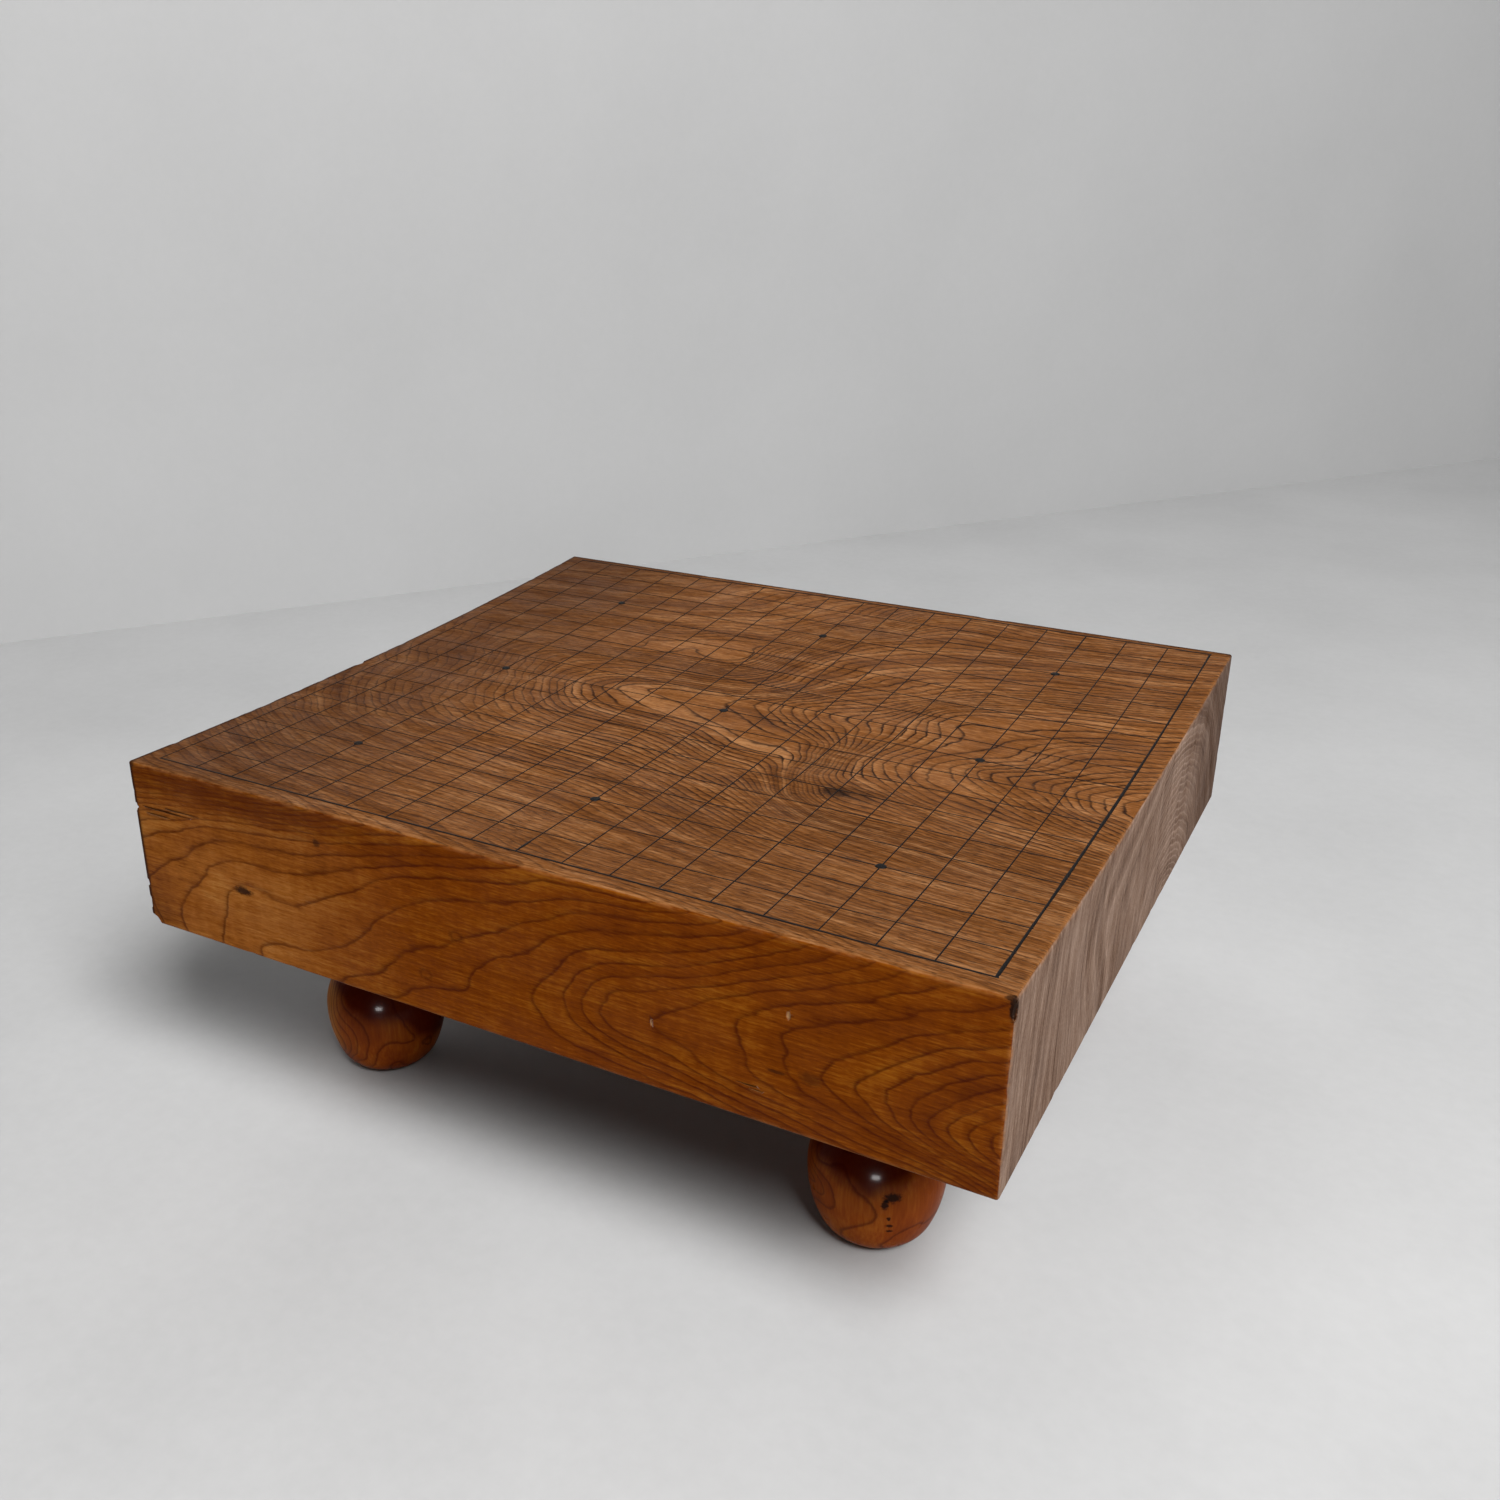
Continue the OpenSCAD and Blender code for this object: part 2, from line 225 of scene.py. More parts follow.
    57: [(-215, 5), (-221, 35), (-221, 85), (-200, 97), (-185, 105), (-165, 112), (-130, 118), (-100, 122),
         (-60, 138), (-30, 158), (-12, 188)],
    60: [(-221, 115), (-180, 125), (-130, 135), (-80, 148), (-50, 168), (-32, 195)],
    64: [(-221, 140), (-180, 150), (-130, 158), (-90, 175), (-70, 198)],
    66: [(222, -205), (150, -191), (100, -181), (50, -172), (0, -161), (-50, -150), (-100, -142),
         (-140, -134), (-170, -124), (-200, -106), (-222, -84)],
    68: [(-221, 165), (-150, 180), (-110, 198)],
    76: [(60, -203), (0, -198), (-50, -186), (-100, -178), (-150, -167), (-190, -152), (-222, -132)],
    84: [(-112, -204), (-160, -193), (-200, -181), (-222, -168)],
}
# A swelling of the rings on the far side of the top
TOP_SWELLING = {
    49: [(-33, 72), (-24, 85), (-30, 99), (-42, 98), (-46, 82)],
    50.5: [(-34, 86)],
}


# Places and shapes
def smooth_step(values, start, end):
    """0 at start, 1 at end, eased between; start may be the larger."""
    t = np.clip((np.asarray(values, float) - start) / (end - start), 0, 1)
    return t * t * (3 - 2 * t)


def bell(values, middle, width):
    """1 at the middle, falling away on both sides."""
    return np.exp(-((values - middle) / width) ** 2)


def wandering(points, scale, seed):
    """Smooth noise about zero at each point; scale holds cycles per millimetre along X, Y and Z."""
    shifted = points * np.array(scale) + seed
    return np.array([noise.noise(Vector(p)) for p in shifted])


def dish(y):
    """How far the dished top lies below its front and back edges."""
    return CUP_DEPTH - (CUP_RADIUS - np.sqrt(CUP_RADIUS**2 - np.asarray(y, float)**2))


def top_height(y):
    return BLOCK_TOP - dish(y)


def on_front(x, height):
    """Place on the front face, at a height above the underside."""
    return (x, -HALF_DEPTH, UNDERSIDE + height)


def on_top(x, y):
    return (x, y, float(top_height(y)))


def foot_axis(name):
    end = 1 if name.endswith("right") else -1
    side = 1 if "rear" in name else -1
    return np.array([end * FOOT_X, side * FOOT_Y, 0.0])


# Fields of ring numbers: a plain shape, bent to pass through drawn curves
FIELD_EASE = 0.004
FIELD_BATCH = 20000
SLOPE_STEP = 0.5


class DrawnField:
    """Ring number at any point from the frame's origin."""

    def __init__(self, plain, drawn, reach, stretch=(1.0, 1.0, 1.0)):
        points, numbers = zip(*drawn)
        self.plain = plain
        self.reach = reach
        self.stretch = np.array(stretch)
        self.points = np.array(points, float)
        missing = np.array(numbers, float) - plain(self.points)
        ease = FIELD_EASE * np.eye(len(missing))
        self.weights = np.linalg.solve(self.bend(self.points) + ease, missing)

    def bend(self, places):
        """Smooth influence of each drawn point on each place."""
        a = places * self.stretch
        b = self.points * self.stretch
        squares = (a**2).sum(1)[:, None] + (b**2).sum(1)[None] - 2 * a @ b.T
        d = np.sqrt(np.maximum(squares, 0)) * math.sqrt(5) / self.reach
        return (1 + d + d * d / 3) * np.exp(-d)

    def __call__(self, places):
        rings = self.plain(places)
        for start in range(0, len(places), FIELD_BATCH):
            part = slice(start, start + FIELD_BATCH)
            rings[part] += self.bend(places[part]) @ self.weights
        return rings


def drawn_points(curves, place):
    """Each drawn point with its ring number; place puts a point of a curve in space."""
    return [(place(*point), number) for number, curve in curves.items() for point in curve]


def surface_slope(field, points, normals):
    """Ring number at each point, and the rings crossed per millimetre along the surface."""
    here = field(points)
    steps = SLOPE_STEP * np.eye(3)
    gradient = np.stack([(field(points + step) - here) / SLOPE_STEP for step in steps], 1)
    along = gradient - (gradient * normals).sum(1)[:, None] * normals
    return here, np.linalg.norm(along, axis=1)


# Rings of the block: a cone round the pith, which runs low along the length
PITH_Y = 14.0
PITH_HEIGHT = -6.0
MIDDLE_RING = 31.0
RINGS_PER_MM = 0.305
RINGS_PER_MM_ALONG = -0.135
RINGS_CLOSING_IN = 0.0004


def cone_rings(points):
    x, y, z = points.T
    radius = np.hypot(y - PITH_Y, z - UNDERSIDE - PITH_HEIGHT)
    middle_radius = THICKNESS - CUP_DEPTH - PITH_HEIGHT
    across = (RINGS_PER_MM + RINGS_CLOSING_IN * x) * (radius - middle_radius)
    return MIDDLE_RING + RINGS_PER_MM_ALONG * x + across


def block_field():
    drawn = drawn_points(FRONT_RINGS, on_front)
    drawn += drawn_points(TOP_RINGS, on_top)
    drawn += drawn_points(TOP_SWELLING, on_top)
    return DrawnField(cone_rings, drawn, reach=38.0, stretch=(0.55, 1.0, 1.0))


# Mesh helpers
def new_piece(name, vertices, faces, material=None):
    mesh = bpy.data.meshes.new(name)
    mesh.from_pydata((np.asarray(vertices) * MM).tolist(), [], [list(map(int, f)) for f in faces])
    mesh.validate()
    piece = bpy.data.objects.new(name, mesh)
    bpy.context.scene.collection.objects.link(piece)
    if material:
        mesh.materials.append(material)
    return piece


def vertex_places(mesh):
    """Vertex positions, and vertex normals."""
    places = np.empty(len(mesh.vertices) * 3, np.float32)
    normals = np.empty(len(mesh.vertices) * 3, np.float32)
    mesh.vertices.foreach_get("co", places)
    mesh.vertices.foreach_get("normal", normals)
    return places.reshape(-1, 3).astype(float) / MM, normals.reshape(-1, 3).astype(float)


def paint(mesh, **values):
    """Stores one number per vertex under each name, for the material to read."""
    for name, numbers in values.items():
        attribute = mesh.attributes.new(name, "FLOAT", "POINT")
        attribute.data.foreach_set("value", np.asarray(numbers, np.float32))


def smooth_shading(mesh, sharp_degrees):
    mesh.polygons.foreach_set("use_smooth", np.ones(len(mesh.polygons), bool))
    mesh.set_sharp_from_angle(angle=math.radians(sharp_degrees))


def dress(piece, body, slot, *nodes):
    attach(piece, body)
    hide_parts(*nodes)


def tube_quads(rows, around):
    """Faces between rows of vertices, each row a closed loop of so many vertices."""
    quads = []
    for k in range(rows - 1):
        here = k * around
        after = here + around
        for i in range(around):
            j = (i + 1) % around
            quads.append((here + i, here + j, after + j, after + i))
    return quads


def lathe(profile, segments):
    """Vertices and faces of a closed turned solid; the profile runs from bottom axis to top axis."""
    turns = np.arange(segments) * 2 * math.pi / segments
    circle = np.stack([np.cos(turns), np.sin(turns)], 1)
    rings = [np.column_stack([r * circle, np.full(segments, z)]) for r, z in profile[1:-1]]
    tips = np.array([[0, 0, profile[0][1]], [0, 0, profile[-1][1]]])
    faces = tube_quads(len(rings), segments)
    bottom = len(rings) * segments
    top_ring = bottom - segments
    for i in range(segments):
        j = (i + 1) % segments
        faces.append((bottom, j, i))
        faces.append((bottom + 1, top_ring + i, top_ring + j))
    return np.concatenate(rings + [tips]), faces


# Shader helpers
TONE_STOPS = (0.22, 0.5, 0.8)


def rgb(red, green, blue):
    """Opaque linear colour from the usual 0 to 255 numbers."""
    def linear(v):
        v /= 255
        return v / 12.92 if v <= 0.04045 else ((v + 0.055) / 1.055) ** 2.4
    return (linear(red), linear(green), linear(blue), 1.0)


def grey(value):
    """Opaque grey of a linear value."""
    return (value, value, value, 1.0)


def arithmetic(operation, swapped=False):
    """Method that joins a wire and another value by a Math node."""
    def method(wire, other):
        return wire.shader.math(operation, *((other, wire) if swapped else (wire, other)))
    return method


class Wire:
    """Output of a shader node; arithmetic with it adds Math nodes."""

    def __init__(self, shader, socket):
        self.shader = shader
        self.socket = socket

    __add__ = __radd__ = arithmetic("ADD")
    __mul__ = __rmul__ = arithmetic("MULTIPLY")
    __sub__ = arithmetic("SUBTRACT")
    __rsub__ = arithmetic("SUBTRACT", swapped=True)
    __truediv__ = arithmetic("DIVIDE")
    __rtruediv__ = arithmetic("DIVIDE", swapped=True)
    __pow__ = arithmetic("POWER")


class Shader:
    """Builds a material's node tree; values and colours in it are wires or plain constants."""

    def __init__(self, name):
        self.material = bpy.data.materials.new(name)
        self.material.use_nodes = True
        self.tree = self.material.node_tree
        self.tree.nodes.clear()
        output = self.node("OutputMaterial")
        self.surface = self.node("BsdfPrincipled")
        self.tree.links.new(self.surface.outputs[0], output.inputs[0])
        self.place = self.vector("SCALE", self.wire("TexCoord", output="Object"), Scale=1 / MM)

    def node(self, kind, *inputs, settings=None, **named_inputs):
        """Adds a node, sets it up and feeds its inputs by order, where None leaves one out, or by name."""
        node = self.tree.nodes.new("ShaderNode" + kind)
        for name, value in (settings or {}).items():
            setattr(node, name, value)
        for socket, value in zip(node.inputs, inputs):
            if value is not None:
                self.feed(socket, value)
        for name, value in named_inputs.items():
            self.feed(node.inputs[name], value)
        return node

    def wire(self, *inputs, output=0, **rest):
        """Adds a node, as above, and returns one of its outputs."""
        return Wire(self, self.node(*inputs, **rest).outputs[output])

    def feed(self, socket, value):
        if isinstance(value, Wire):
            self.tree.links.new(value.socket, socket)
        else:
            socket.default_value = value

    def set(self, **inputs):
        """Feeds the surface; an underscore stands for a space in an input's name."""
        for name, value in inputs.items():
            self.feed(self.surface.inputs[name.replace("_", " ")], value)

    def attribute(self, name):
        return self.wire("Attribute", settings={"attribute_name": name}, output="Fac")

    def math(self, operation, *values):
        return self.wire("Math", *values, settings={"operation": operation})

    def vector(self, operation, *values, **named):
        output = "Value" if operation == "LENGTH" else "Vector"
        return self.wire("VectorMath", *values, settings={"operation": operation}, output=output, **named)

    def place_x(self):
        return self.wire("SeparateXYZ", self.place)

    def noise(self, stretch, detail=2.0, rough=0.5):
        """Noise from 0 to 1; stretch holds cycles per millimetre along X, Y and Z."""
        place = self.vector("MULTIPLY", self.place, stretch)
        return self.wire("TexNoise", output="Fac", Vector=place, Scale=1.0, Detail=detail, Roughness=rough)

    def noise_along(self, value, cycles):
        """Noise from 0 to 1 that changes with one number only."""
        return self.wire("TexNoise", settings={"noise_dimensions": "1D"}, output="Fac", W=value, Scale=cycles)

    def tone(self, *layers):
        """Noises about 0.5, each with its stretch and its share, added up."""
        total = 0.5
        for stretch, share in layers:
            total = (self.noise(stretch, 3.0, 0.6) - 0.5) * share + total
        return total

    def remap(self, value, start, end, low=0.0, high=1.0):
        """Goes from low to high, eased, as the value goes from start to end."""
        eased = {"interpolation_type": "SMOOTHSTEP"}
        return self.wire("MapRange", value, start, end, low, high, settings=eased)

    def mix(self, share, a, b):
        """Colour between a and b."""
        node = self.node("Mix", share, settings={"data_type": "RGBA"})
        colour_a, colour_b = (socket for socket in node.inputs if socket.type == "RGBA")
        self.feed(colour_a, a)
        self.feed(colour_b, b)
        return Wire(self, next(socket for socket in node.outputs if socket.type == "RGBA"))

    def mix_numbers(self, share, a, b):
        return self.wire("Mix", share, None, a, b)

    def ramp(self, value, stops, colours):
        node = self.node("ValToRGB", value)
        elements = node.color_ramp.elements
        while len(elements) < len(stops):
            elements.new(0.5)
        for element, position, colour in zip(elements, stops, colours):
            element.position = position
            element.color = colour
        return Wire(self, node.outputs[0])

    def wood(self, tone, tones):
        """Dark, middle or light colour of a wood."""
        return self.ramp(tone, TONE_STOPS, tones)

    def spot(self, centre, size, ragged=0.25):
        """1 inside an oval about centre, 0 outside, with a ragged rim."""
        offset = self.vector("SUBTRACT", self.place, tuple(map(float, centre)))
        scaled = self.vector("MULTIPLY", offset, tuple(1 / s for s in size))
        rough = (self.noise((0.6, 0.9, 0.9)) - 0.5) * (ragged * 4)
        return self.remap(self.vector("LENGTH", scaled) + rough, 1.25, 0.55)

    def bump(self, height, distance, strength):
        return self.wire("Bump", Strength=strength, Distance=distance * MM, Height=height)


# Ring lines: least width, what far-apart rings add, most width, and how far they stray
LINE_LEAST = 0.75
LINE_GROWTH = 0.09
LINE_MOST = 1.8
LINE_WANDER = 7.0
LINE_SHIVER = 0.7


def ring_lines(s, wander_rings, fade_length):
    """Dark line at each ring's start, a fade after it, and a tone of its own for each ring."""
    slope = s.math("MAXIMUM", s.attribute("ring_slope"), 0.01)
    slow = s.noise((0.040, 0.11, 0.11), 2.5) - 0.5
    fine = s.noise((0.20, 0.55, 0.55), 1.0) - 0.5
    wander = slow * s.math("MINIMUM", slope * LINE_WANDER, wander_rings)
    shifted = s.attribute("ring") + (wander + fine * (slope * LINE_SHIVER))
    share = s.math("FRACT", shifted)
    after = share / slope
    before = (1.0 - share) / slope
    width = s.math("MINIMUM", LINE_GROWTH / slope + LINE_LEAST, LINE_MOST)
    line = s.math("MAXIMUM", s.remap(after / width, 1.0, 0.2), s.remap(before / width, 0.5, 0.0))
    fade = s.remap(after, fade_length, 0.0) ** 1.6
    band = s.noise_along(shifted, 0.43)
    return line, fade, band


# Material of the block: varnished sides, worn satin top, dull end grain
FRONT_TONES = (rgb(76, 29, 2), rgb(107, 50, 4), rgb(140, 82, 18))
WORN_TONES = (rgb(95, 47, 8), rgb(140, 82, 28), rgb(168, 116, 58))
# The palest tone of the top is greyer than the wood: partly a painted sheen of its satin finish
TOP_TONES_AND_SHEEN = (rgb(66, 33, 8), rgb(120, 73, 34), rgb(174, 124, 80))
# The grey of the end grain is partly its own dull colour and partly a painted sheen
END_TONES_AND_SHEEN = (rgb(82, 60, 47), rgb(120, 96, 81), rgb(152, 128, 112))
FRONT_LINE = rgb(58, 15, 2)
TOP_LINE = rgb(34, 17, 8)
END_FADE = rgb(72, 50, 38)
END_LINE = rgb(176, 152, 136)
# Dark brown for darker wood, dirt and painted shade on the block
DARK_WOOD_AND_SHADE = rgb(44, 21, 8)
CHAFED_WOOD = rgb(150, 100, 58)


def block_wood():
    s = Shader("block_wood")
    top = s.attribute("top_face")
    end = s.attribute("end_face")
    pale = s.attribute("pale")
    line, fade, band = ring_lines(s, wander_rings=0.75, fade_length=4.5)
    crowded = s.remap(s.attribute("ring_slope"), 0.26, 0.50, 1.0, 0.45)
    line = line * s.mix_numbers(top, 1.0, crowded)
    figured = s.attribute("figure") * s.remap(s.noise((0.02, 0.09, 0.09)), 0.3, 0.65, 0.5, 1.0)

    tone = s.tone(
        ((0.010, 0.040, 0.040), 0.30),
        ((0.045, 0.850, 0.850), 0.55),
        ((0.006, 0.160, 0.160), 0.20),
        ((0.220, 1.400, 1.400), 0.45),
    )
    ripple = s.noise((0.110, 0.030, 0.030), 3.0, 0.6) - 0.5
    tone = tone + ripple * s.mix_numbers(top, 0.30, 0.10) + (band - 0.5) * 0.35
    colour = s.mix(pale, s.wood(tone, FRONT_TONES), s.wood(tone, WORN_TONES))
    colour = s.mix(top, colour, s.wood(tone, TOP_TONES_AND_SHEEN))

    dark_line = s.mix(top, FRONT_LINE, TOP_LINE)
    line_share = s.mix_numbers(top, 0.54, 0.95)
    pores = s.remap(s.noise((0.20, 1.30, 1.30), 1.5), 0.53, 0.65) * (fade * 0.5 + 0.5)
    pore_share = s.mix_numbers(top, 0.23, 0.60)
    colour = s.mix(fade * 0.34 * figured, colour, dark_line)
    colour = s.mix(line * line_share * figured, colour, dark_line)
    colour = s.mix(pores * pore_share, colour, dark_line)
    colour = s.mix(end, colour, end_grain(s, line, fade, band, pale))

    chafed = s.attribute("edge_wear") * s.remap(s.noise((0.09, 0.09, 0.35), 4.0, 0.65), 0.42, 0.66)
    # Darker wood, dirt and painted shade, from the paint of each vertex
    colour = s.mix(s.attribute("shade"), colour, DARK_WOOD_AND_SHADE)
    colour = s.mix(chafed * 0.45, colour, CHAFED_WOOD)
    colour = block_marks(s, colour)

    gloss = s.noise((0.03, 0.06, 0.06), 4.0, 0.6)
    rough = s.remap(gloss, 0.3, 0.7, 0.34, 0.48) + end * 0.28 + chafed * 0.2
    shine = s.remap(gloss, 0.3, 0.7, 0.03, 0.01)
    saw_marks = end * s.noise((0.5, 0.9, 0.04))
    height = line * -0.5 + pores * -0.6 + tone * 0.35 + saw_marks
    s.set(Base_Color=colour, Roughness=rough, Normal=s.bump(height, 0.14, 0.6), Specular_IOR_Level=shine)
    return s.material


def end_grain(s, line, fade, band, dome):
    """Dull grey-brown, partly the end grain's own colour and partly a painted sheen, with arcs of rings that
    are palest in the dome, upright saw marks and pores.
    """
    tone = s.tone(((0.01, 0.035, 0.02), 0.55), ((0.02, 0.55, 0.03), 0.85), ((0.02, 0.9, 0.9), 0.45))
    colour = s.wood(tone + (band - 0.5) * 0.5, END_TONES_AND_SHEEN)
    colour = s.mix(fade * 0.24, colour, END_FADE)
    return s.mix(line * s.mix_numbers(dome, 0.10, 0.36), colour, END_LINE)


# Marks on the block
KNOT_BLACK = rgb(24, 13, 8)
STAIN_BROWN = rgb(56, 20, 3)
NICK_PALE = rgb(166, 130, 90)


def block_marks(s, colour):
    """Knots, ring stains and pale nicks."""
    # Each knot is a centre, half sizes and strength
    knots = [
        (on_top(95, -67), (8.0, 5.0, 9), 0.70),
        (on_top(99, -66), (17, 10.0, 9), 0.30),
        (on_front(-156, 35.5), (6.0, 6, 2.2), 0.90),
        (on_front(-105, 74), (2.2, 6, 2.2), 0.6),
        (on_front(146, 29), (5.5, 6, 3.2), 0.4),
        (on_front(131, 27.5), (4.5, 6, 0.9), 0.6),
        (on_front(223.5, 86), (1.6, 4, 6.0), 0.95),
        (on_front(222, 90), (2.0, 3, 1.0), 0.8),
    ]
    for centre, size, strength in knots:
        colour = s.mix(s.spot(centre, size) * strength, colour, KNOT_BLACK)
    for centre in (on_front(-46, 21), on_front(-27, 46)):
        rim = s.spot(centre, (4.2, 9, 3.2), 0.2) - s.spot(centre, (2.5, 9, 1.7), 0.2)
        colour = s.mix(rim * 0.5, colour, STAIN_BROWN)
    for centre, size in ((on_front(135.5, 55.5), (0.9, 4, 2.0)), (on_front(73, 32.5), (0.5, 4, 1.8))):
        colour = s.mix(s.spot(centre, size, 0.2) * 0.6, colour, NICK_PALE)
    return colour


# Material of the feet: the same wood, redder and darker upwards with painted shade under the block, under a
# high gloss
FOOT_TONES = (rgb(92, 30, 4), rgb(131, 60, 11), rgb(164, 97, 30))
BARE_TONES = (rgb(126, 80, 42), rgb(166, 116, 70), rgb(196, 150, 104))
# Painted light from the floor, paler, on the outer side of the left front foot
FOOT_BOUNCE_LIGHT = rgb(186, 120, 40)
FOOT_FADE = rgb(76, 22, 3)
FOOT_LINE = rgb(52, 12, 2)
# Dark red of the painted shade and reflection of the dark underside, on the upper part of the feet
FOOT_SHADED_RED = rgb(64, 5, 2)
FOOT_KNOT = rgb(14, 6, 4)
BARE_LINE = rgb(104, 60, 30)


def foot_wood():
    s = Shader("foot_wood")
    bare = s.attribute("bare")
    line, fade, band = ring_lines(s, wander_rings=0.3, fade_length=4.0)
    tone = s.tone(((0.04, 0.04, 0.015), 0.6), ((0.8, 0.8, 0.05), 0.35)) + (band - 0.5) * 0.3
    # Painted light on the outer side of the left front foot
    colour = s.mix(s.attribute("pale") * 0.6, s.wood(tone, FOOT_TONES), FOOT_BOUNCE_LIGHT)
    colour = s.mix(fade * 0.30, colour, FOOT_FADE)
    colour = s.mix(line * 0.45, colour, FOOT_LINE)
    # Painted shade, dark red, on the upper part of each foot under the block
    colour = s.mix(s.attribute("stain"), colour, FOOT_SHADED_RED)
    for name, knots in FOOT_KNOTS.items():
        for centre, size in knots:
            knot = s.spot(foot_axis(name) + np.array(centre), size, 0.35)
            colour = s.mix(knot * 0.9, colour, FOOT_KNOT)
    fibres = s.tone(((0.5, 0.5, 0.02), 0.7), ((1.6, 1.6, 0.12), 0.5), ((0.05, 0.05, 0.02), 0.4))
    bare_colour = s.mix(line * 0.5, s.wood(fibres, BARE_TONES), BARE_LINE)
    colour = s.mix(bare, colour, bare_colour)
    smear = s.noise((0.08, 0.08, 0.08), 4.0, 0.6)
    rough = s.remap(smear, 0.3, 0.7, 0.26, 0.38) + bare * 0.4
    height = line * -0.4 + tone * 0.25
    s.set(Base_Color=colour, Roughness=rough, Normal=s.bump(height, 0.05, 0.4))
    s.set(Coat_Weight=0.07, Coat_Roughness=0.14, Coat_IOR=1.45, Specular_IOR_Level=0.01)
    return s.material


# Lacquer of the ruled lines: black where thick, worn to brown where thin and towards the left
def lacquer(name, black, worn, start, end):
    s = Shader(name)
    left = s.remap(s.place_x(), 60.0, -200.0, 0.0, 0.14)
    thin = s.tone(((0.035, 0.035, 0.035), 0.8), ((0.1, 0.15, 0.15), 0.2)) + left
    colour = s.mix(s.remap(thin, start, end), black, worn)
    rough = s.remap(thin, 0.2, 0.8, 0.45, 0.65)
    s.set(Base_Color=colour, Roughness=rough, Normal=s.bump(thin, 0.03, 0.5), Specular_IOR_Level=0.15)
    return s.material


# The block's mesh: a lattice over an eased box, dished on top, with nicked edges
EDGE_EASE = 1.4
FACE_STEP = 2.0
EDGE_OFFSETS = (0.0, 0.45, 0.9, 1.4, 2.1, 3.0, 4.2)
NICK_REACH = 3.2
BLOCK_SHARP_DEGREES = 38


def lattice(half):
    """Positions from -half to half, close together near both ends."""
    inner = half - EDGE_OFFSETS[-1]
    middle = np.linspace(-inner, inner, int(round(2 * inner / FACE_STEP)) + 1)[1:-1]
    low = -half + np.array(EDGE_OFFSETS)
    return np.concatenate([low, middle, -low[::-1]])


def box_surface(halves):
    """Vertices and outward quads of a box whose faces are lattices."""
    axes = [lattice(h) for h in halves]
    shape = tuple(len(a) for a in axes)
    index = np.indices(shape)
    last = np.array(shape).reshape(3, 1, 1, 1) - 1
    outside = ((index == 0) | (index == last)).any(0)
    number = np.full(shape, -1)
    number[outside] = np.arange(outside.sum())
    where = np.argwhere(outside)
    vertices = np.stack([axes[k][where[:, k]] for k in range(3)], 1)
    quads = []
    for axis in range(3):
        for end in (0, -1):
            side = np.take(number, end, axis)
            quad = np.stack([side[:-1, :-1], side[1:, :-1], side[1:, 1:], side[:-1, 1:]], -1)
            quad = quad.reshape(-1, 4)
            flipped = (end == 0) != (axis == 1)
            quads.append(quad[:, ::-1] if flipped else quad)
    return vertices, np.concatenate(quads)


def ease_edges(vertices, halves):
    inner = halves - EDGE_EASE
    core = np.clip(vertices, -inner, inner)
    out = vertices - core
    reach = np.linalg.norm(out, axis=1, keepdims=True)
    return core + np.where(reach > 0, out / np.maximum(reach, 1e-9) * EDGE_EASE, 0)


def edge_distance(gaps):
    """Distance from the nearest edge: the second smallest of the gaps to the faces."""
    return np.sort(gaps, axis=1)[:, 1]


def nick_edges(vertices, halves):
    """Dents the edges with small nicks and with long, shallow hollows."""
    gaps = halves - np.abs(vertices)
    near_edge = smooth_step(edge_distance(gaps), NICK_REACH, 0.3)
    edge = near_edge > 0
    depth = np.zeros(len(vertices))
    depth[edge] = np.maximum(wandering(vertices[edge], (0.11, 0.11, 0.13), 3.7) - 0.28, 0) * 0.6
    depth[edge] += np.maximum(wandering(vertices[edge], (0.02, 0.02, 0.04), 9.1), 0) * 0.1
    inward = -np.sign(vertices) * (gaps < NICK_REACH)
    return vertices + inward * (depth * near_edge)[:, None]


def make_block(material):
    halves = np.array([HALF_LENGTH, HALF_DEPTH, THICKNESS / 2])
    vertices, quads = box_surface(halves)
    vertices = nick_edges(ease_edges(vertices, halves), halves)
    share = (vertices[:, 2] + halves[2]) / THICKNESS
    vertices[:, 2] = UNDERSIDE + share * (THICKNESS - dish(vertices[:, 1]))
    block = new_piece("block", vertices, quads, material)
    cut(block, mortise_cutters() + chip_cutters())
    smooth_shading(block.data, BLOCK_SHARP_DEGREES)
    paint_block(block.data)
    dress(block, "board", "block_wood", "board_block")


def cut(piece, cutters):
    """Subtracts each cutter from the piece, and removes the cutters."""
    tool = bpy.data.collections.new("cutters")
    bpy.context.scene.collection.children.link(tool)
    for cutter in cutters:
        bpy.context.scene.collection.objects.unlink(cutter)
        tool.objects.link(cutter)
    boolean = piece.modifiers.new("cut", "BOOLEAN")
    boolean.operation = "DIFFERENCE"
    boolean.solver = "MANIFOLD"
    boolean.operand_type = "COLLECTION"
    boolean.collection = tool
    evaluated = piece.evaluated_get(bpy.context.evaluated_depsgraph_get())
    mesh = bpy.data.meshes.new_from_object(evaluated)
    piece.modifiers.clear()
    old = piece.data
    piece.data = mesh
    bpy.data.meshes.remove(old)
    for cutter in cutters:
        bpy.data.objects.remove(cutter)
    bpy.data.collections.remove(tool)


# Cutters: how far a mortise cutter runs past the underside, and the steps of round cutters
CUT_PAST = 2.0
MORTISE_SEGMENTS = 64
CHIP_STEPS = 12
CHIP_SEGMENTS = 20
CHIP_ROUGHNESS = 0.45


def mortise_cutters():
    low = UNDERSIDE - CUT_PAST
    high = UNDERSIDE + MORTISE_DEPTH
    profile = [(0, low), (MORTISE_RADIUS, low), (MORTISE_RADIUS, high), (0, high)]
    vertices, faces = lathe(profile, MORTISE_SEGMENTS)
    return [new_piece("mortise_cutter", vertices + foot_axis(name), faces) for name in FOOT_NAMES]


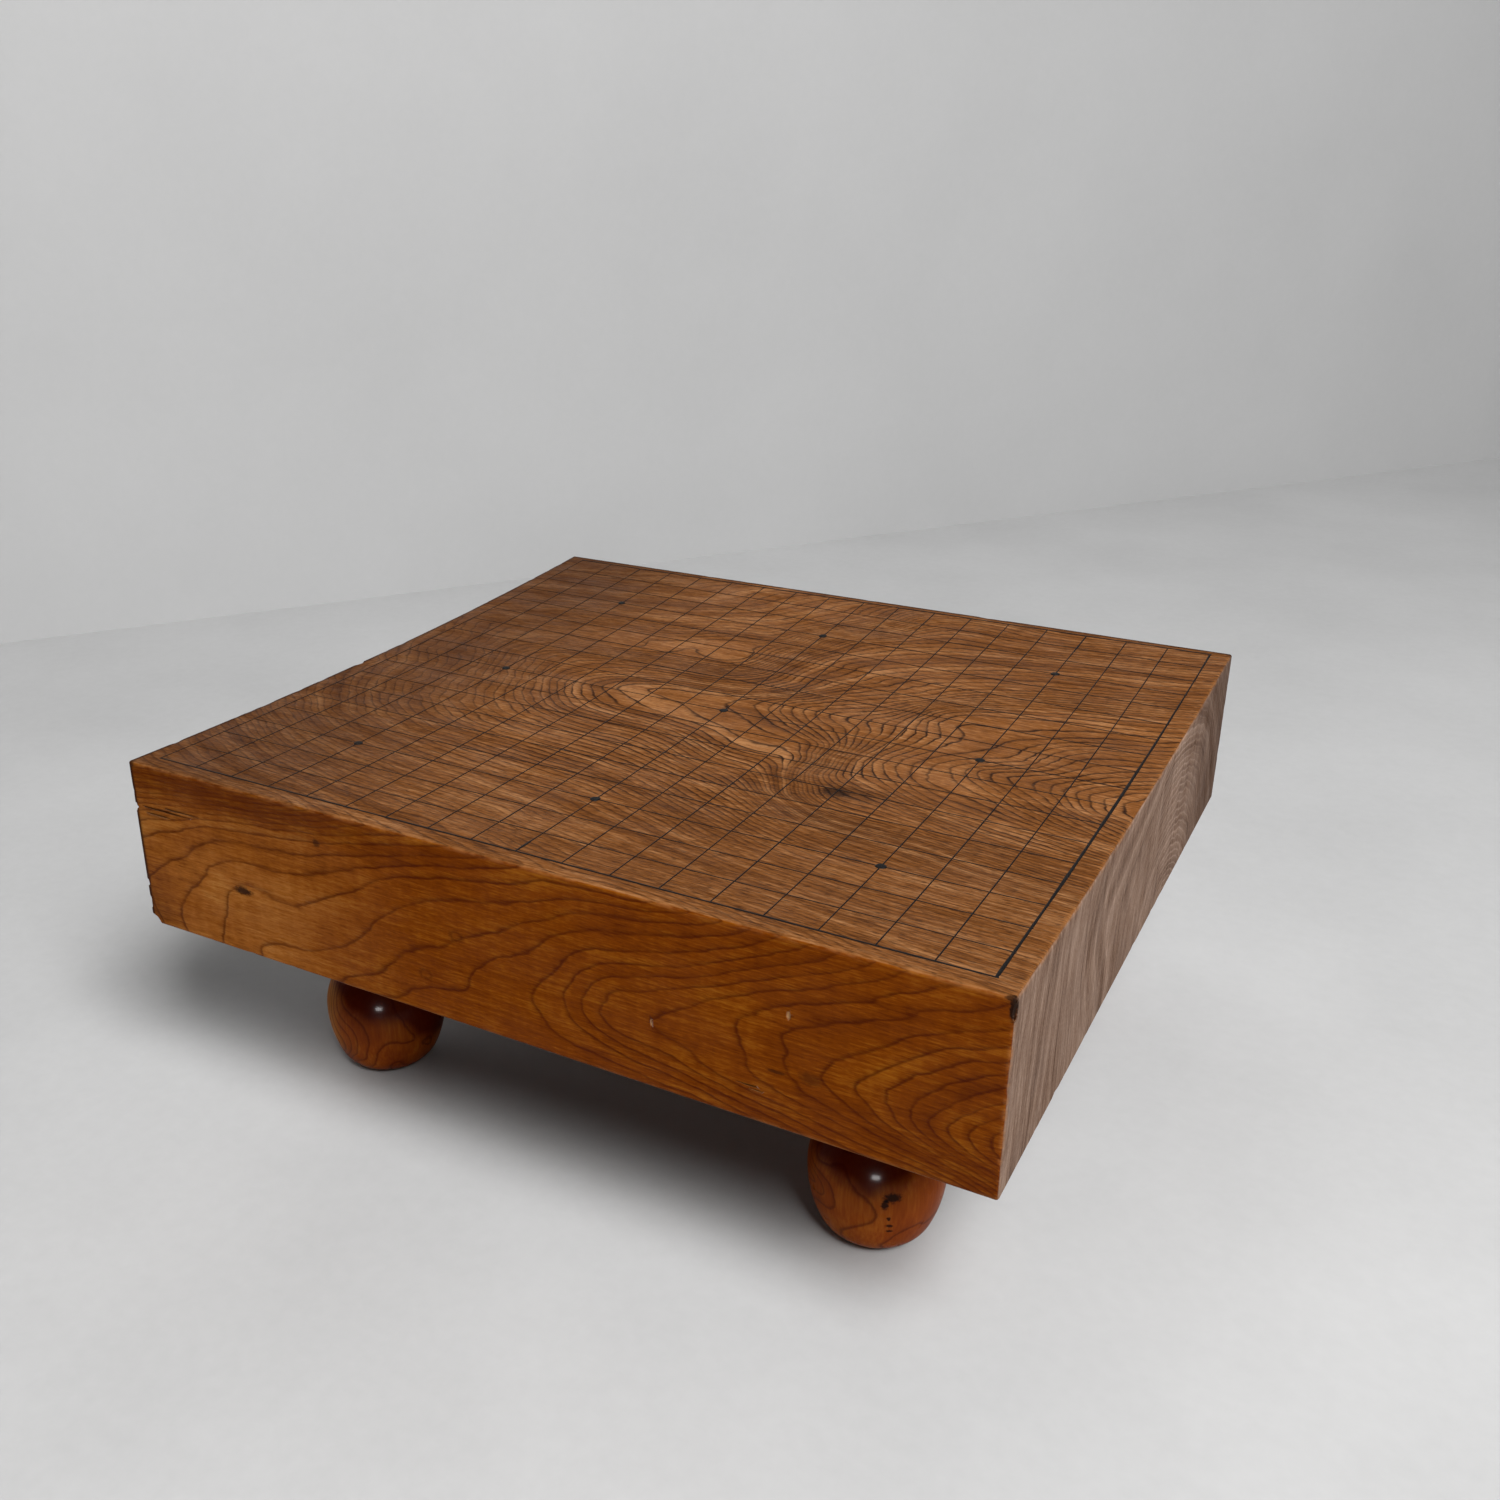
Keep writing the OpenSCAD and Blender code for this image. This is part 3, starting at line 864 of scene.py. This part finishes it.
def chips():
    """Chips and splits, each a centre and half sizes."""
    left = -HALF_LENGTH
    right = HALF_LENGTH
    return [
        (on_front(left, 66), (2.6, 3.0, 2.2)),
        (on_front(left, 23), (2.0, 2.6, 2.6)),
        (on_front(left, 12), (1.6, 3.0, 5.0)),
        ((left - 2, -HALF_DEPTH - 2, UNDERSIDE - 2), (9.0, 9.0, 8.0)),
        (on_top(left, -31), (2.4, 5.0, 2.6)),
        (on_front(right, 85.5), (1.4, 1.8, 5.0)),
        ((right, HALF_DEPTH, UNDERSIDE + 30), (2.2, 2.4, 6.0)),
        ((-60, HALF_DEPTH, UNDERSIDE + 2), (9.0, 2.5, 3.0)),
        ((left, 120, UNDERSIDE + 1), (2.5, 8.0, 3.0)),
        (on_front(135.5, 55.5), (1.0, 0.35, 2.4)),
        (on_front(73, 32.5), (0.7, 0.3, 2.0)),
        (on_front(-203, 67.5), (15.0, 1.6, 0.45)),
        (on_front(-193, 69.5), (13.0, 1.2, 0.35)),
        (on_front(-208, 64.5), (9.0, 1.3, 0.40)),
        (on_front(118, 17), (4.5, 1.0, 0.40)),
        (on_front(122, 15.5), (3.5, 0.9, 0.35)),
    ]


def chip_cutters():
    return [chip(centre, size, 2.3 * n) for n, (centre, size) in enumerate(chips())]


def chip(centre, size, seed):
    """Ragged lump to cut away: a turned ball, roughened and scaled."""
    turns = [math.pi * k / CHIP_STEPS for k in range(CHIP_STEPS + 1)]
    vertices, faces = lathe([(math.sin(t), -math.cos(t)) for t in turns], CHIP_SEGMENTS)
    rough = 1 + CHIP_ROUGHNESS * wandering(vertices, (1.4, 1.4, 1.4), seed + 0.37)
    vertices = vertices * rough[:, None] * np.array(size) + np.array(centre)
    return new_piece("chip_cutter", vertices, faces)


# Rings on the end faces: arcs about a low centre behind the middle, leaning in front of it
END_CENTRE_Y = 70.0
END_CENTRE_HEIGHT = -38.0
END_RINGS_PER_MM = 0.25
END_LEAN = 42.0


def end_field(places):
    y = places[:, 1]
    height = places[:, 2] - UNDERSIDE
    lean = END_LEAN * bell(y, -80, 60) * smooth_step(height, 0, 60)
    radius = np.hypot(y + lean - END_CENTRE_Y, height - END_CENTRE_HEIGHT)
    return END_RINGS_PER_MM * radius


def end_rings(places):
    across = np.tile(np.array([1.0, 0, 0]), (len(places), 1))
    rings, slope = surface_slope(end_field, places, across)
    rings += 1.3 * wandering(places, (0.01, 0.02, 0.02), 7.7)
    rings += 0.4 * wandering(places, (0.01, 0.09, 0.05), 4.1)
    return rings, slope


# Paint of the block: the share of dark brown at most, for darker wood and painted shade away from the edges,
# and for the dark line on them
DEEPEST_DARK_AND_SHADE = 0.60
DEEPEST_EDGE = 0.9


def facing(lean):
    """1 where a face looks along an axis, 0 where it looks well away from it."""
    return smooth_step(lean, 0.55, 0.8)


class BlockSurface:
    """Vertices of the block: their places, the faces they are on and their distance from an edge."""

    def __init__(self, mesh):
        self.places, self.normals = vertex_places(mesh)
        self.x, self.y, z = self.places.T
        self.height = z - UNDERSIDE
        self.below_top = top_height(self.y) - z
        self.end = facing(np.abs(self.normals[:, 0]))
        self.side = facing(np.abs(self.normals[:, 1]))
        self.top = facing(self.normals[:, 2])
        self.under = facing(-self.normals[:, 2])
        from_ends = HALF_LENGTH - np.abs(self.x)
        from_sides = HALF_DEPTH - np.abs(self.y)
        from_flats = np.minimum(self.height, self.below_top)
        self.edge_gap = edge_distance(np.stack([from_ends, from_sides, from_flats], 1))
        # The figure is quieter on the left and the near part of the top
        self.quiet = np.maximum(smooth_step(self.x, -50, -150), smooth_step(self.y, -85, -150))


def block_rings(b):
    """Ring numbers and slopes; the rings stray more away from the drawn faces and where it is quiet."""
    rings, slope = surface_slope(block_field(), b.places, b.normals)
    loose = smooth_step(np.minimum(b.below_top, b.y + HALF_DEPTH), 4, 70)
    rings += 0.25 * wandering(b.places, (0.012, 0.03, 0.03), 1.3)
    rings += loose * 3.2 * wandering(b.places, (0.009, 0.022, 0.022), 5.9)
    on_end = b.end > 0.5
    rings[on_end], slope[on_end] = end_rings(b.places[on_end])
    rings += b.top * b.quiet * 0.55 * wandering(b.places, (0.045, 0.10, 0.10), 6.3)
    return rings, slope


def block_figure(b):
    """Strength of the ring lines, less on the far, left and near parts of the top."""
    return 1 - b.top * np.minimum(0.30 * smooth_step(b.y, 50, 120) + 0.50 * b.quiet, 0.60)


def block_pale(b):
    """Worn varnish on the left of the sides, and the pale dome of the end grain."""
    worn = b.side * smooth_step(b.x, -40, -150) * smooth_step(b.height, 84, 66)
    worn *= 0.75 + 0.35 * wandering(b.places, (0.02, 0.03, 0.05), 2.2)
    return np.clip(worn + b.end * bell(b.y, 75, 35), 0, 1)


def block_shade(b):
    """How dark each part is, in turn: darker wood at the top left of the sides and dirt at their bottom left
    corners; painted shade on the underside; painted shade on the left and far parts of the top, a little
    darker near its front; painted shade on the far parts of the ends, and a dark streak in their grain.
    """
    shade = 0.4 * b.side * smooth_step(b.x, -20, -120) * smooth_step(b.height, 70, 84)
    shade += 0.5 * b.side * smooth_step(b.x, -196, -222) * smooth_step(b.height, 30, 4)
    # Painted shade on the underside
    shade += 0.8 * b.under
    # Painted shade on the left and far parts of the top
    shade += b.top * (0.80 * smooth_step(b.x, -60, -190) + 0.15 * smooth_step(b.y, 60, 170))
    shade += 0.22 * b.top * smooth_step(b.y, -85, -150) * smooth_step(b.x, -190, -60)
    # Painted shade on the far parts of the ends
    shade += 0.80 * b.end * smooth_step(b.y, 85, 190)
    streak = -78 + 18 * (1 - np.clip(b.height / 60, 0, 1)) ** 2
    shade += 0.40 * b.end * bell(b.y, streak, 3.0)
    return np.clip(shade, 0, 1)


def block_dark_edge(b):
    """Dark line along the left and back edges, fainter on the faces that look left or back."""
    left = smooth_step(b.x, -219, -222)
    back = smooth_step(b.y, HALF_DEPTH - 5, HALF_DEPTH - 2.5)
    looking_left = smooth_step(-b.normals[:, 0], 0.4, 0.7)
    looking_back = smooth_step(b.normals[:, 1], 0.4, 0.7)
    strength = 1 - 0.75 * np.maximum(looking_left, looking_back)
    return np.maximum(left, back) * smooth_step(b.edge_gap, 3.4, 2.0) * strength


def paint_block(mesh):
    """Gives each vertex its ring number, how worn or pale the wood is there, and how dark from darker wood
    and painted shade.
    """
    b = BlockSurface(mesh)
    rings, slope = block_rings(b)
    dark_edge = block_dark_edge(b)
    wear = smooth_step(b.edge_gap, 2.6, 0.2) * (1 - dark_edge)
    shade = np.maximum(DEEPEST_DARK_AND_SHADE * block_shade(b), DEEPEST_EDGE * dark_edge)
    paint(mesh, ring=rings, ring_slope=slope, top_face=b.top, end_face=b.end, edge_wear=wear,
          figure=block_figure(b), pale=block_pale(b), shade=shade)


# Feet: turned from the profile of the CAD part, with more steps
FOOT_SEGMENTS = 112
FOOT_SHARP_DEGREES = 50


def arc(centre, radius, start_degrees, end_degrees, steps):
    angles = np.radians(np.linspace(start_degrees, end_degrees, steps + 1))
    return [(centre[0] + radius * math.cos(a), centre[1] + radius * math.sin(a)) for a in angles]


def foot_profile():
    neck_centre = NECK_RADIUS + NECK_HOLLOW
    neck_rise = math.sqrt((BELLY_RADIUS + NECK_HOLLOW) ** 2 - neck_centre**2)
    flare_rise = math.sqrt(NECK_HOLLOW**2 - (neck_centre - COLLAR_RADIUS) ** 2)
    neck_z = BELLY_HEIGHT + neck_rise
    inner = SIDE_RADIUS - HEEL_RADIUS
    heel_drop = BELLY_HEIGHT - HEEL_RADIUS
    heel_centre = BELLY_RADIUS - SIDE_RADIUS + math.sqrt(inner**2 - heel_drop**2)
    heel_angle = math.degrees(math.asin(heel_drop / inner))
    neck_angle = math.degrees(math.acos(neck_centre / (BELLY_RADIUS + NECK_HOLLOW)))
    flare_angle = math.degrees(math.asin(flare_rise / NECK_HOLLOW))
    tenon_top = UNDERSIDE + TENON_LENGTH
    base = [(0, 0.0), (heel_centre * 0.5, 0.0)]
    heel = arc((heel_centre, HEEL_RADIUS), HEEL_RADIUS, -90, -heel_angle, 12)
    side = arc((BELLY_RADIUS - SIDE_RADIUS, BELLY_HEIGHT), SIDE_RADIUS, -heel_angle, 0, 14)[1:]
    belly = arc((0, BELLY_HEIGHT), BELLY_RADIUS, 0, neck_angle, 18)[1:]
    neck = arc((neck_centre, neck_z), NECK_HOLLOW, 180 + neck_angle, 180 - flare_angle, 20)[1:]
    collar = [
        (COLLAR_RADIUS, UNDERSIDE - 7),
        (COLLAR_RADIUS, UNDERSIDE - 1.2),
        (COLLAR_RADIUS - 0.4, UNDERSIDE - 0.3),
        (COLLAR_RADIUS - 1.0, UNDERSIDE),
        (TENON_RADIUS + 0.6, UNDERSIDE),
    ]
    tenon = [(TENON_RADIUS, UNDERSIDE + rise) for rise in (0.6, 14, 27, TENON_LENGTH - TENON_CHAMFER)]
    tenon_end = [(TENON_RADIUS - TENON_CHAMFER, tenon_top), (0, tenon_top)]
    return base + heel + side + belly + neck + collar + tenon + tenon_end


# Direction across the rings of each foot, as seen from outside
FOOT_GRAIN = {
    "foot_front_left": (-0.80, -0.42, 0.42),
    "foot_front_right": (-0.90, -0.35, 0.10),
    "foot_rear_left": (-0.55, 0.70, 0.30),
    "foot_rear_right": (0.85, 0.30, 0.35),
}
# Rings drawn on the two front feet, ring number: points (degrees about the axis, height).
FOOT_RINGS = {
    "foot_front_left": {
        40: [(-66, 16), (-62, 20), (-56, 25), (-49, 27), (-40, 27), (-30, 25), (-18, 23), (0, 17)],
        41: [(-102, 49), (-95, 46), (-86, 43), (-78, 41), (-72, 38), (-69, 34), (-68, 30), (-70, 25),
             (-74, 20), (-77, 15)],
        42: [(-101, 41), (-90, 37), (-83, 33), (-82, 28), (-85, 22), (-94, 15)],
        43: [(-108, 39), (-100, 34), (-92, 30), (-90, 25), (-93, 19)],
        44: [(-117, 40), (-113, 34), (-106, 28), (-102, 22), (-103, 17)],
        45: [(-121, 41), (-121, 33), (-118, 27), (-112, 20)],
    },
    "foot_front_right": {
        39: [(-60, 15), (-49, 20), (-38, 22), (-14, 19)],
        39.5: [(-45, 34), (-25, 36), (-5, 36), (-50, 44), (-20, 46), (10, 40), (30, 36)],
        40: [(-96, 15), (-85, 21), (-75, 26), (-71, 31), (-71, 34), (-76, 38), (-88, 42)],
        41: [(-138, 43), (-126, 42), (-114, 41), (-108, 38), (-105, 33), (-106, 28), (-116, 25), (-128, 24)],
        42: [(-140, 40), (-128, 39), (-119, 37), (-116, 34), (-118, 31), (-130, 29)],
        43: [(-142, 37), (-130, 36), (-125, 34), (-134, 32)],
    },
}
# Lower rim of the painted shade and dark reflection, dark red, under the block, as (degrees about the axis,
# height)
FOOT_SHADE_RIM = {
    "foot_front_left": [(-180, 56), (-104, 50), (-88, 44), (-62, 40), (-38, 40), (-29, 33), (-18, 26),
                        (3, 19), (60, 24), (180, 56)],
    "foot_front_right": [(-180, 48), (-150, 47), (-118, 46), (-101, 44), (-87, 42), (-73, 41), (-63, 44),
                         (-43, 46), (-36, 50), (0, 58), (180, 48)],
}
PLAIN_SHADE_RIM = [(-180, 46), (180, 46)]
DEEPEST_FOOT_SHADE = 0.88
# Dark knots, as a centre and half sizes about the foot's axis
FOOT_KNOTS = {
    "foot_front_right": [
        ((17.5, -27.0, 41.0), (4.0, 5.0, 2.6)),
        ((15.0, -28.5, 37.5), (1.6, 4.0, 2.8)),
        ((16.5, -26.5, 29.5), (0.9, 4.0, 1.2)),
        ((16.5, -25.5, 25.0), (1.8, 5.0, 1.1)),
        ((16.5, -24.0, 21.5), (1.6, 5.0, 0.9)),
    ],
}
# Plain rings of a foot: the number at its middle, how fast it grows across, and how the rings bow
FOOT_MIDDLE_RING = 40.0
FOOT_RINGS_PER_MM = 0.08
FOOT_RINGS_GROWTH = 0.0014
FOOT_RINGS_BOW = 0.05
FOOT_BOW_LENGTH = 60.0


def foot_field(name, axis):
    across = np.array(FOOT_GRAIN[name])
    across /= np.linalg.norm(across)
    outline = np.array(foot_profile())[1:]

    def plain(points):
        local = points - axis - np.array([0, 0, BELLY_HEIGHT])
        s = local @ across
        bow = np.hypot(local @ np.cross(across, (0, 0, 1)), FOOT_BOW_LENGTH) - FOOT_BOW_LENGTH
        growth = FOOT_RINGS_PER_MM * s + FOOT_RINGS_GROWTH * np.maximum(s, 0) ** 2
        return FOOT_MIDDLE_RING + growth + FOOT_RINGS_BOW * bow

    def on_foot(degrees, height):
        turn = math.radians(degrees)
        radius = np.interp(height, outline[:, 1], outline[:, 0])
        return axis + np.array([radius * math.cos(turn), radius * math.sin(turn), height])

    drawn = drawn_points(FOOT_RINGS.get(name, {}), on_foot)
    return DrawnField(plain, drawn, reach=16.0) if drawn else plain


def make_foot(name, material):
    axis = foot_axis(name)
    vertices, faces = lathe(foot_profile(), FOOT_SEGMENTS)
    height = vertices[:, 2]
    seed = 2.0 + np.sign(axis[0]) + 3 * np.sign(axis[1])
    belly = smooth_step(height, 2, 20) * smooth_step(height, UNDERSIDE - 8, UNDERSIDE - 30)
    uneven = 0.22 * wandering(vertices, (0.03, 0.03, 0.03), seed) * belly
    out = vertices * np.array([1, 1, 0])
    out = out / np.maximum(np.linalg.norm(out, axis=1, keepdims=True), 1e-6)
    foot = new_piece("turned_" + name, vertices + out * uneven[:, None] + axis, faces, material)
    smooth_shading(foot.data, FOOT_SHARP_DEGREES)
    paint_foot(foot.data, name, axis, seed)
    dress(foot, name, "foot_wood", name)


def paint_foot(mesh, name, axis, seed):
    """Gives each vertex its ring number, its painted shade under the block, its painted light at the side and
    how bare the wood is there.
    """
    places, normals = vertex_places(mesh)
    rings, slope = surface_slope(foot_field(name, axis), places, normals)
    rings += 0.12 * wandering(places, (0.06, 0.06, 0.04), seed + 4)
    x, y, height = (places - axis).T
    degrees = np.degrees(np.arctan2(y, x))
    rim = np.interp(degrees, *np.array(FOOT_SHADE_RIM.get(name, PLAIN_SHADE_RIM)).T)
    above = height - rim + 2.5 * wandering(places, (0.12, 0.12, 0.12), seed + 6)
    tenon = smooth_step(height, UNDERSIDE - 0.2, UNDERSIDE + 0.4)
    base = smooth_step(height, 0.6, 0.1)
    paint(mesh, ring=rings, ring_slope=slope, stain=DEEPEST_FOOT_SHADE * smooth_step(above, -4, 6),
          bare=np.maximum(tenon, 0.6 * base), pale=bounce_lit_side(name, degrees, height))


def bounce_lit_side(name, degrees, height):
    """Painted light: paler on the outer side of the left front foot, where light from the floor falls on it.
    """
    if name != "foot_front_left":
        return np.zeros(len(degrees))
    return smooth_step(degrees, -95, -125) * smooth_step(height, 10, 22) * smooth_step(height, 62, 50)


# Lacquer: strokes and dots that follow the dished top, a little sunk into it
STROKE_STEP = 2.0
STROKE_END_SHARE = 0.75
ROW_HEIGHT = 0.22
SUNK = 0.03
LACQUER_SHARP_DEGREES = 60
# Brushed widths as shares of the CAD widths
LINE_SHARE = 0.72
HEAVY_SHARE = 0.70
BORDER_ROW_SHARE = 1.3
STAR_SPREAD = 1.2
# Wider and narrower places of the columns: place, length and share
COLUMN_BLOBS = {
    "k": [(-189.0, 5.0, 1.3)],
    "q": [(180.0, 5.0, 0.9), (192.0, 7.0, 0.5)],
    "t": [(-188.0, 8.0, 0.25), (-105.0, 14.0, 0.2), (-10.0, 30.0, 0.25), (150.0, 70.0, -0.35)],
}
# Top of a dot: shares of its radius and of its height
DOT_CROWN = ((0.97, 0.55), (0.85, 0.85), (0.5, 0.97), (0, 1))
DOT_SEGMENTS = 40


def node_box(name):
    low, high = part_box(name)
    return np.array(low) / MM, np.array(high) / MM


def brushed(name, way, middle, width, blobs):
    """Middle and half width of a stroke along its way, uneven as brushed lacquer is."""
    seed = sum(map(ord, name)) * 0.17
    line = np.stack([way, np.full(len(way), middle), np.zeros(len(way))], 1)
    drift = 0.10 * wandering(line, (0.02, 0.02, 0), seed)
    swell = 1 + 0.22 * wandering(line, (0.07, 0.07, 0), seed + 5)
    swell += 0.14 * wandering(line, (0.3, 0.3, 0), seed + 8)
    for place, length, share in blobs:
        swell += share * bell(way, place, length)
    half = width / 2 * swell
    half[[0, -1]] *= STROKE_END_SHARE
    return middle + drift, half


def make_stroke(name, along, share, height, material, blobs=()):
    """Raised stroke in place of a CAD line, along X or Y: low shoulders and a rounded crown."""
    low, high = node_box(name)
    run, across = (0, 1) if along == "X" else (1, 0)
    way = np.linspace(low[run], high[run], int((high[run] - low[run]) / STROKE_STEP) + 1)
    width = (high[across] - low[across]) * share
    middle, half = brushed(name, way, (low[across] + high[across]) / 2, width, blobs)
    section = [(-1, -SUNK), (-0.82, 0.7 * height), (0, height), (0.82, 0.7 * height), (1, -SUNK)]
    edges = []
    for offset, lift in section:
        edge = middle + offset * half
        x, y = (way, edge) if along == "X" else (edge, way)
        edges.append(np.stack([x, y, top_height(y) + lift], 1))
    vertices = np.stack(edges, 1).reshape(-1, 3)
    around = len(section)
    first_end = range(around)[::-1]
    last_end = range(len(vertices) - around, len(vertices))
    faces = tube_quads(len(way), around) + [tuple(first_end), tuple(last_end)]
    if along == "Y":
        faces = [face[::-1] for face in faces]
    stroke = new_piece("stroke_" + name, vertices, faces, material)
    smooth_shading(stroke.data, LACQUER_SHARP_DEGREES)
    dress(stroke, "board", "lacquer", name)


def make_lines(column_material, row_material):
    for letter in COLUMN_LETTERS:
        name = "column_line_" + letter
        high = node_box(name)[1]
        lift = float(high[2] - top_height(high[1]))
        share = HEAVY_SHARE if letter == HEAVY_COLUMN else LINE_SHARE
        make_stroke(name, "Y", share, lift, column_material, COLUMN_BLOBS.get(letter, ()))
    for row in range(1, LINE_COUNT + 1):
        name = "row_line_%d" % row
        if row in (1, LINE_COUNT):
            make_stroke(name, "X", BORDER_ROW_SHARE, ROW_HEIGHT, column_material)
        else:
            make_stroke(name, "X", LINE_SHARE, ROW_HEIGHT, row_material)


def make_star(name, seed, material):
    """Domed dot of lacquer, slightly out of round."""
    low, high = node_box(name)
    centre = (low + high) / 2
    radius = (high[0] - low[0]) / 2
    lift = high[2] - float(top_height(centre[1])) - 0.02
    profile = [(0, -SUNK), (radius * 0.7, -SUNK), (radius, -SUNK)]
    profile += [(radius * out, lift * up) for out, up in DOT_CROWN]
    vertices, faces = lathe(profile, DOT_SEGMENTS)
    turn = np.arctan2(vertices[:, 1], vertices[:, 0])
    uneven = 1 + 0.05 * np.sin(2 * turn + seed) + 0.035 * np.sin(3 * turn + 2 * seed)
    vertices[:, :2] *= uneven[:, None] * STAR_SPREAD
    vertices[:, :2] += centre[:2]
    vertices[:, 2] += top_height(vertices[:, 1])
    dot = new_piece("dot_" + name, vertices, faces, material)
    smooth_shading(dot.data, LACQUER_SHARP_DEGREES)
    dress(dot, "board", "lacquer", name)


def make_stars(material):
    for letter in STAR_COLUMNS:
        for row in STAR_ROWS:
            make_star("star_point_%s%d" % (letter, row), ord(letter) * 0.31 + row, material)


# Stage: a plain pale floor and wall
ROOM_REACH = 12000.0
FLOOR_FRONT = 3600.0
WALL_HEIGHT = 3200.0
WALL_GAP = 894.0
WALL_FACING = np.array([0.782, -0.623, 0.0])


def pale_paint(name, light, dark, grit_depth):
    s = Shader(name)
    cloud = s.noise((0.004, 0.004, 0.004), 4.0, 0.6)
    grit = s.noise((0.12, 0.12, 0.12), 3.0, 0.6)
    colour = s.ramp(cloud * 0.75 + grit * 0.25, (0.3, 0.7), (grey(dark), grey(light)))
    s.set(Base_Color=colour, Roughness=0.7, Normal=s.bump(grit, grit_depth, 0.25))
    return s.material


def make_room():
    """A wall behind the board that faces the camera, and a floor from the wall to past the lamps."""
    foot_of_wall = -WALL_FACING * WALL_GAP
    front = WALL_FACING * FLOOR_FRONT
    along = np.array([-WALL_FACING[1], WALL_FACING[0], 0.0]) * ROOM_REACH
    up = np.array([0, 0, WALL_HEIGHT])
    floor = [foot_of_wall + along, foot_of_wall - along, front - along, front + along]
    new_piece("floor", floor, [(0, 1, 2, 3)], pale_paint("floor_paint", 0.50, 0.43, 0.15))
    wall = [foot_of_wall - along, foot_of_wall + along, foot_of_wall + along + up, foot_of_wall - along + up]
    new_piece("wall", wall, [(3, 2, 1, 0)], pale_paint("wall_paint", 0.46, 0.43, 0.1))


# Light, in metres and watts
BACKDROP_GREY = 0.62
BACKDROP_STRENGTH = 0.6
LAMP_AIM = Vector((0, 0, 0.12))


def lamp(name, shape, place, size, watts):
    light = bpy.data.lights.new(name, "AREA")
    light.shape = shape
    light.size = size
    light.energy = watts
    holder = bpy.data.objects.new(name, light)
    holder.location = place
    holder.rotation_mode = "QUATERNION"
    holder.rotation_quaternion = (LAMP_AIM - Vector(place)).to_track_quat("-Z", "Y")
    bpy.context.scene.collection.objects.link(holder)
    return holder


def make_light():
    world = bpy.data.worlds.new("pale_backdrop")
    bpy.context.scene.world = world
    world.use_nodes = True
    background = world.node_tree.nodes["Background"]
    background.inputs["Color"].default_value = grey(BACKDROP_GREY)
    background.inputs["Strength"].default_value = BACKDROP_STRENGTH
    # The backdrop is only seen; the lamps and what they light give all the light
    for ray in ("diffuse", "glossy", "transmission", "scatter"):
        setattr(world.cycles_visibility, ray, False)
    lamp("far_window", "SQUARE", (2.5, -1.9, 3.9), 2.1, 172)
    lamp("near_window", "SQUARE", (1.25, -1.0, 1.95), 1.05, 56)
    # The highlights on the feet come from a lamp that shows only in reflections
    glint = lamp("glint_lamp", "RECTANGLE", (0.95, -2.48, 0.59), 0.52, 55)
    glint.data.size_y = 0.26
    glint.visible_diffuse = False


# Camera: pixels of the photo, the sensor in millimetres, the eye and clip in metres, and degrees
LENS_PIXELS = 1505.0
IMAGE_PIXELS = 1500.0
SENSOR = 36.0
OPTICAL_CENTRE = (647.9, 734.6)
EYE = (0.3412, -0.6695, 0.4924)
AZIMUTH = 30.05
ELEVATION = 22.68
ROLL = -0.79
CLIP_START = 0.01
CLIP_END = 100


def make_camera():
    data = bpy.data.cameras.new("camera")
    data.sensor_width = SENSOR
    data.lens = SENSOR * LENS_PIXELS / IMAGE_PIXELS
    data.shift_x = (IMAGE_PIXELS / 2 - OPTICAL_CENTRE[0]) / IMAGE_PIXELS
    data.shift_y = (OPTICAL_CENTRE[1] - IMAGE_PIXELS / 2) / IMAGE_PIXELS
    data.clip_start = CLIP_START
    data.clip_end = CLIP_END
    camera = bpy.data.objects.new("camera", data)
    azimuth = math.radians(AZIMUTH)
    elevation = math.radians(ELEVATION)
    level = math.cos(elevation)
    back = Vector((math.sin(azimuth) * level, -math.cos(azimuth) * level, math.sin(elevation)))
    turn = (-back).to_track_quat("-Z", "Y").to_matrix()
    roll = Matrix.Rotation(math.radians(ROLL), 3, back)
    camera.matrix_world = Matrix.Translation(EYE) @ (roll @ turn).to_4x4()
    bpy.context.scene.collection.objects.link(camera)
    bpy.context.scene.camera = camera


make_camera()
make_room()
make_light()
make_block(block_wood())
foot_material = foot_wood()
for foot_name in FOOT_NAMES:
    make_foot(foot_name, foot_material)
black_lacquer = lacquer("lacquer_black", rgb(9, 8, 8), rgb(40, 24, 12), 0.62, 0.80)
worn_lacquer = lacquer("lacquer_worn", rgb(16, 11, 8), rgb(48, 28, 13), 0.48, 0.72)
make_lines(black_lacquer, worn_lacquer)
make_stars(black_lacquer)
bpy.context.scene.view_settings.view_transform = "Standard"
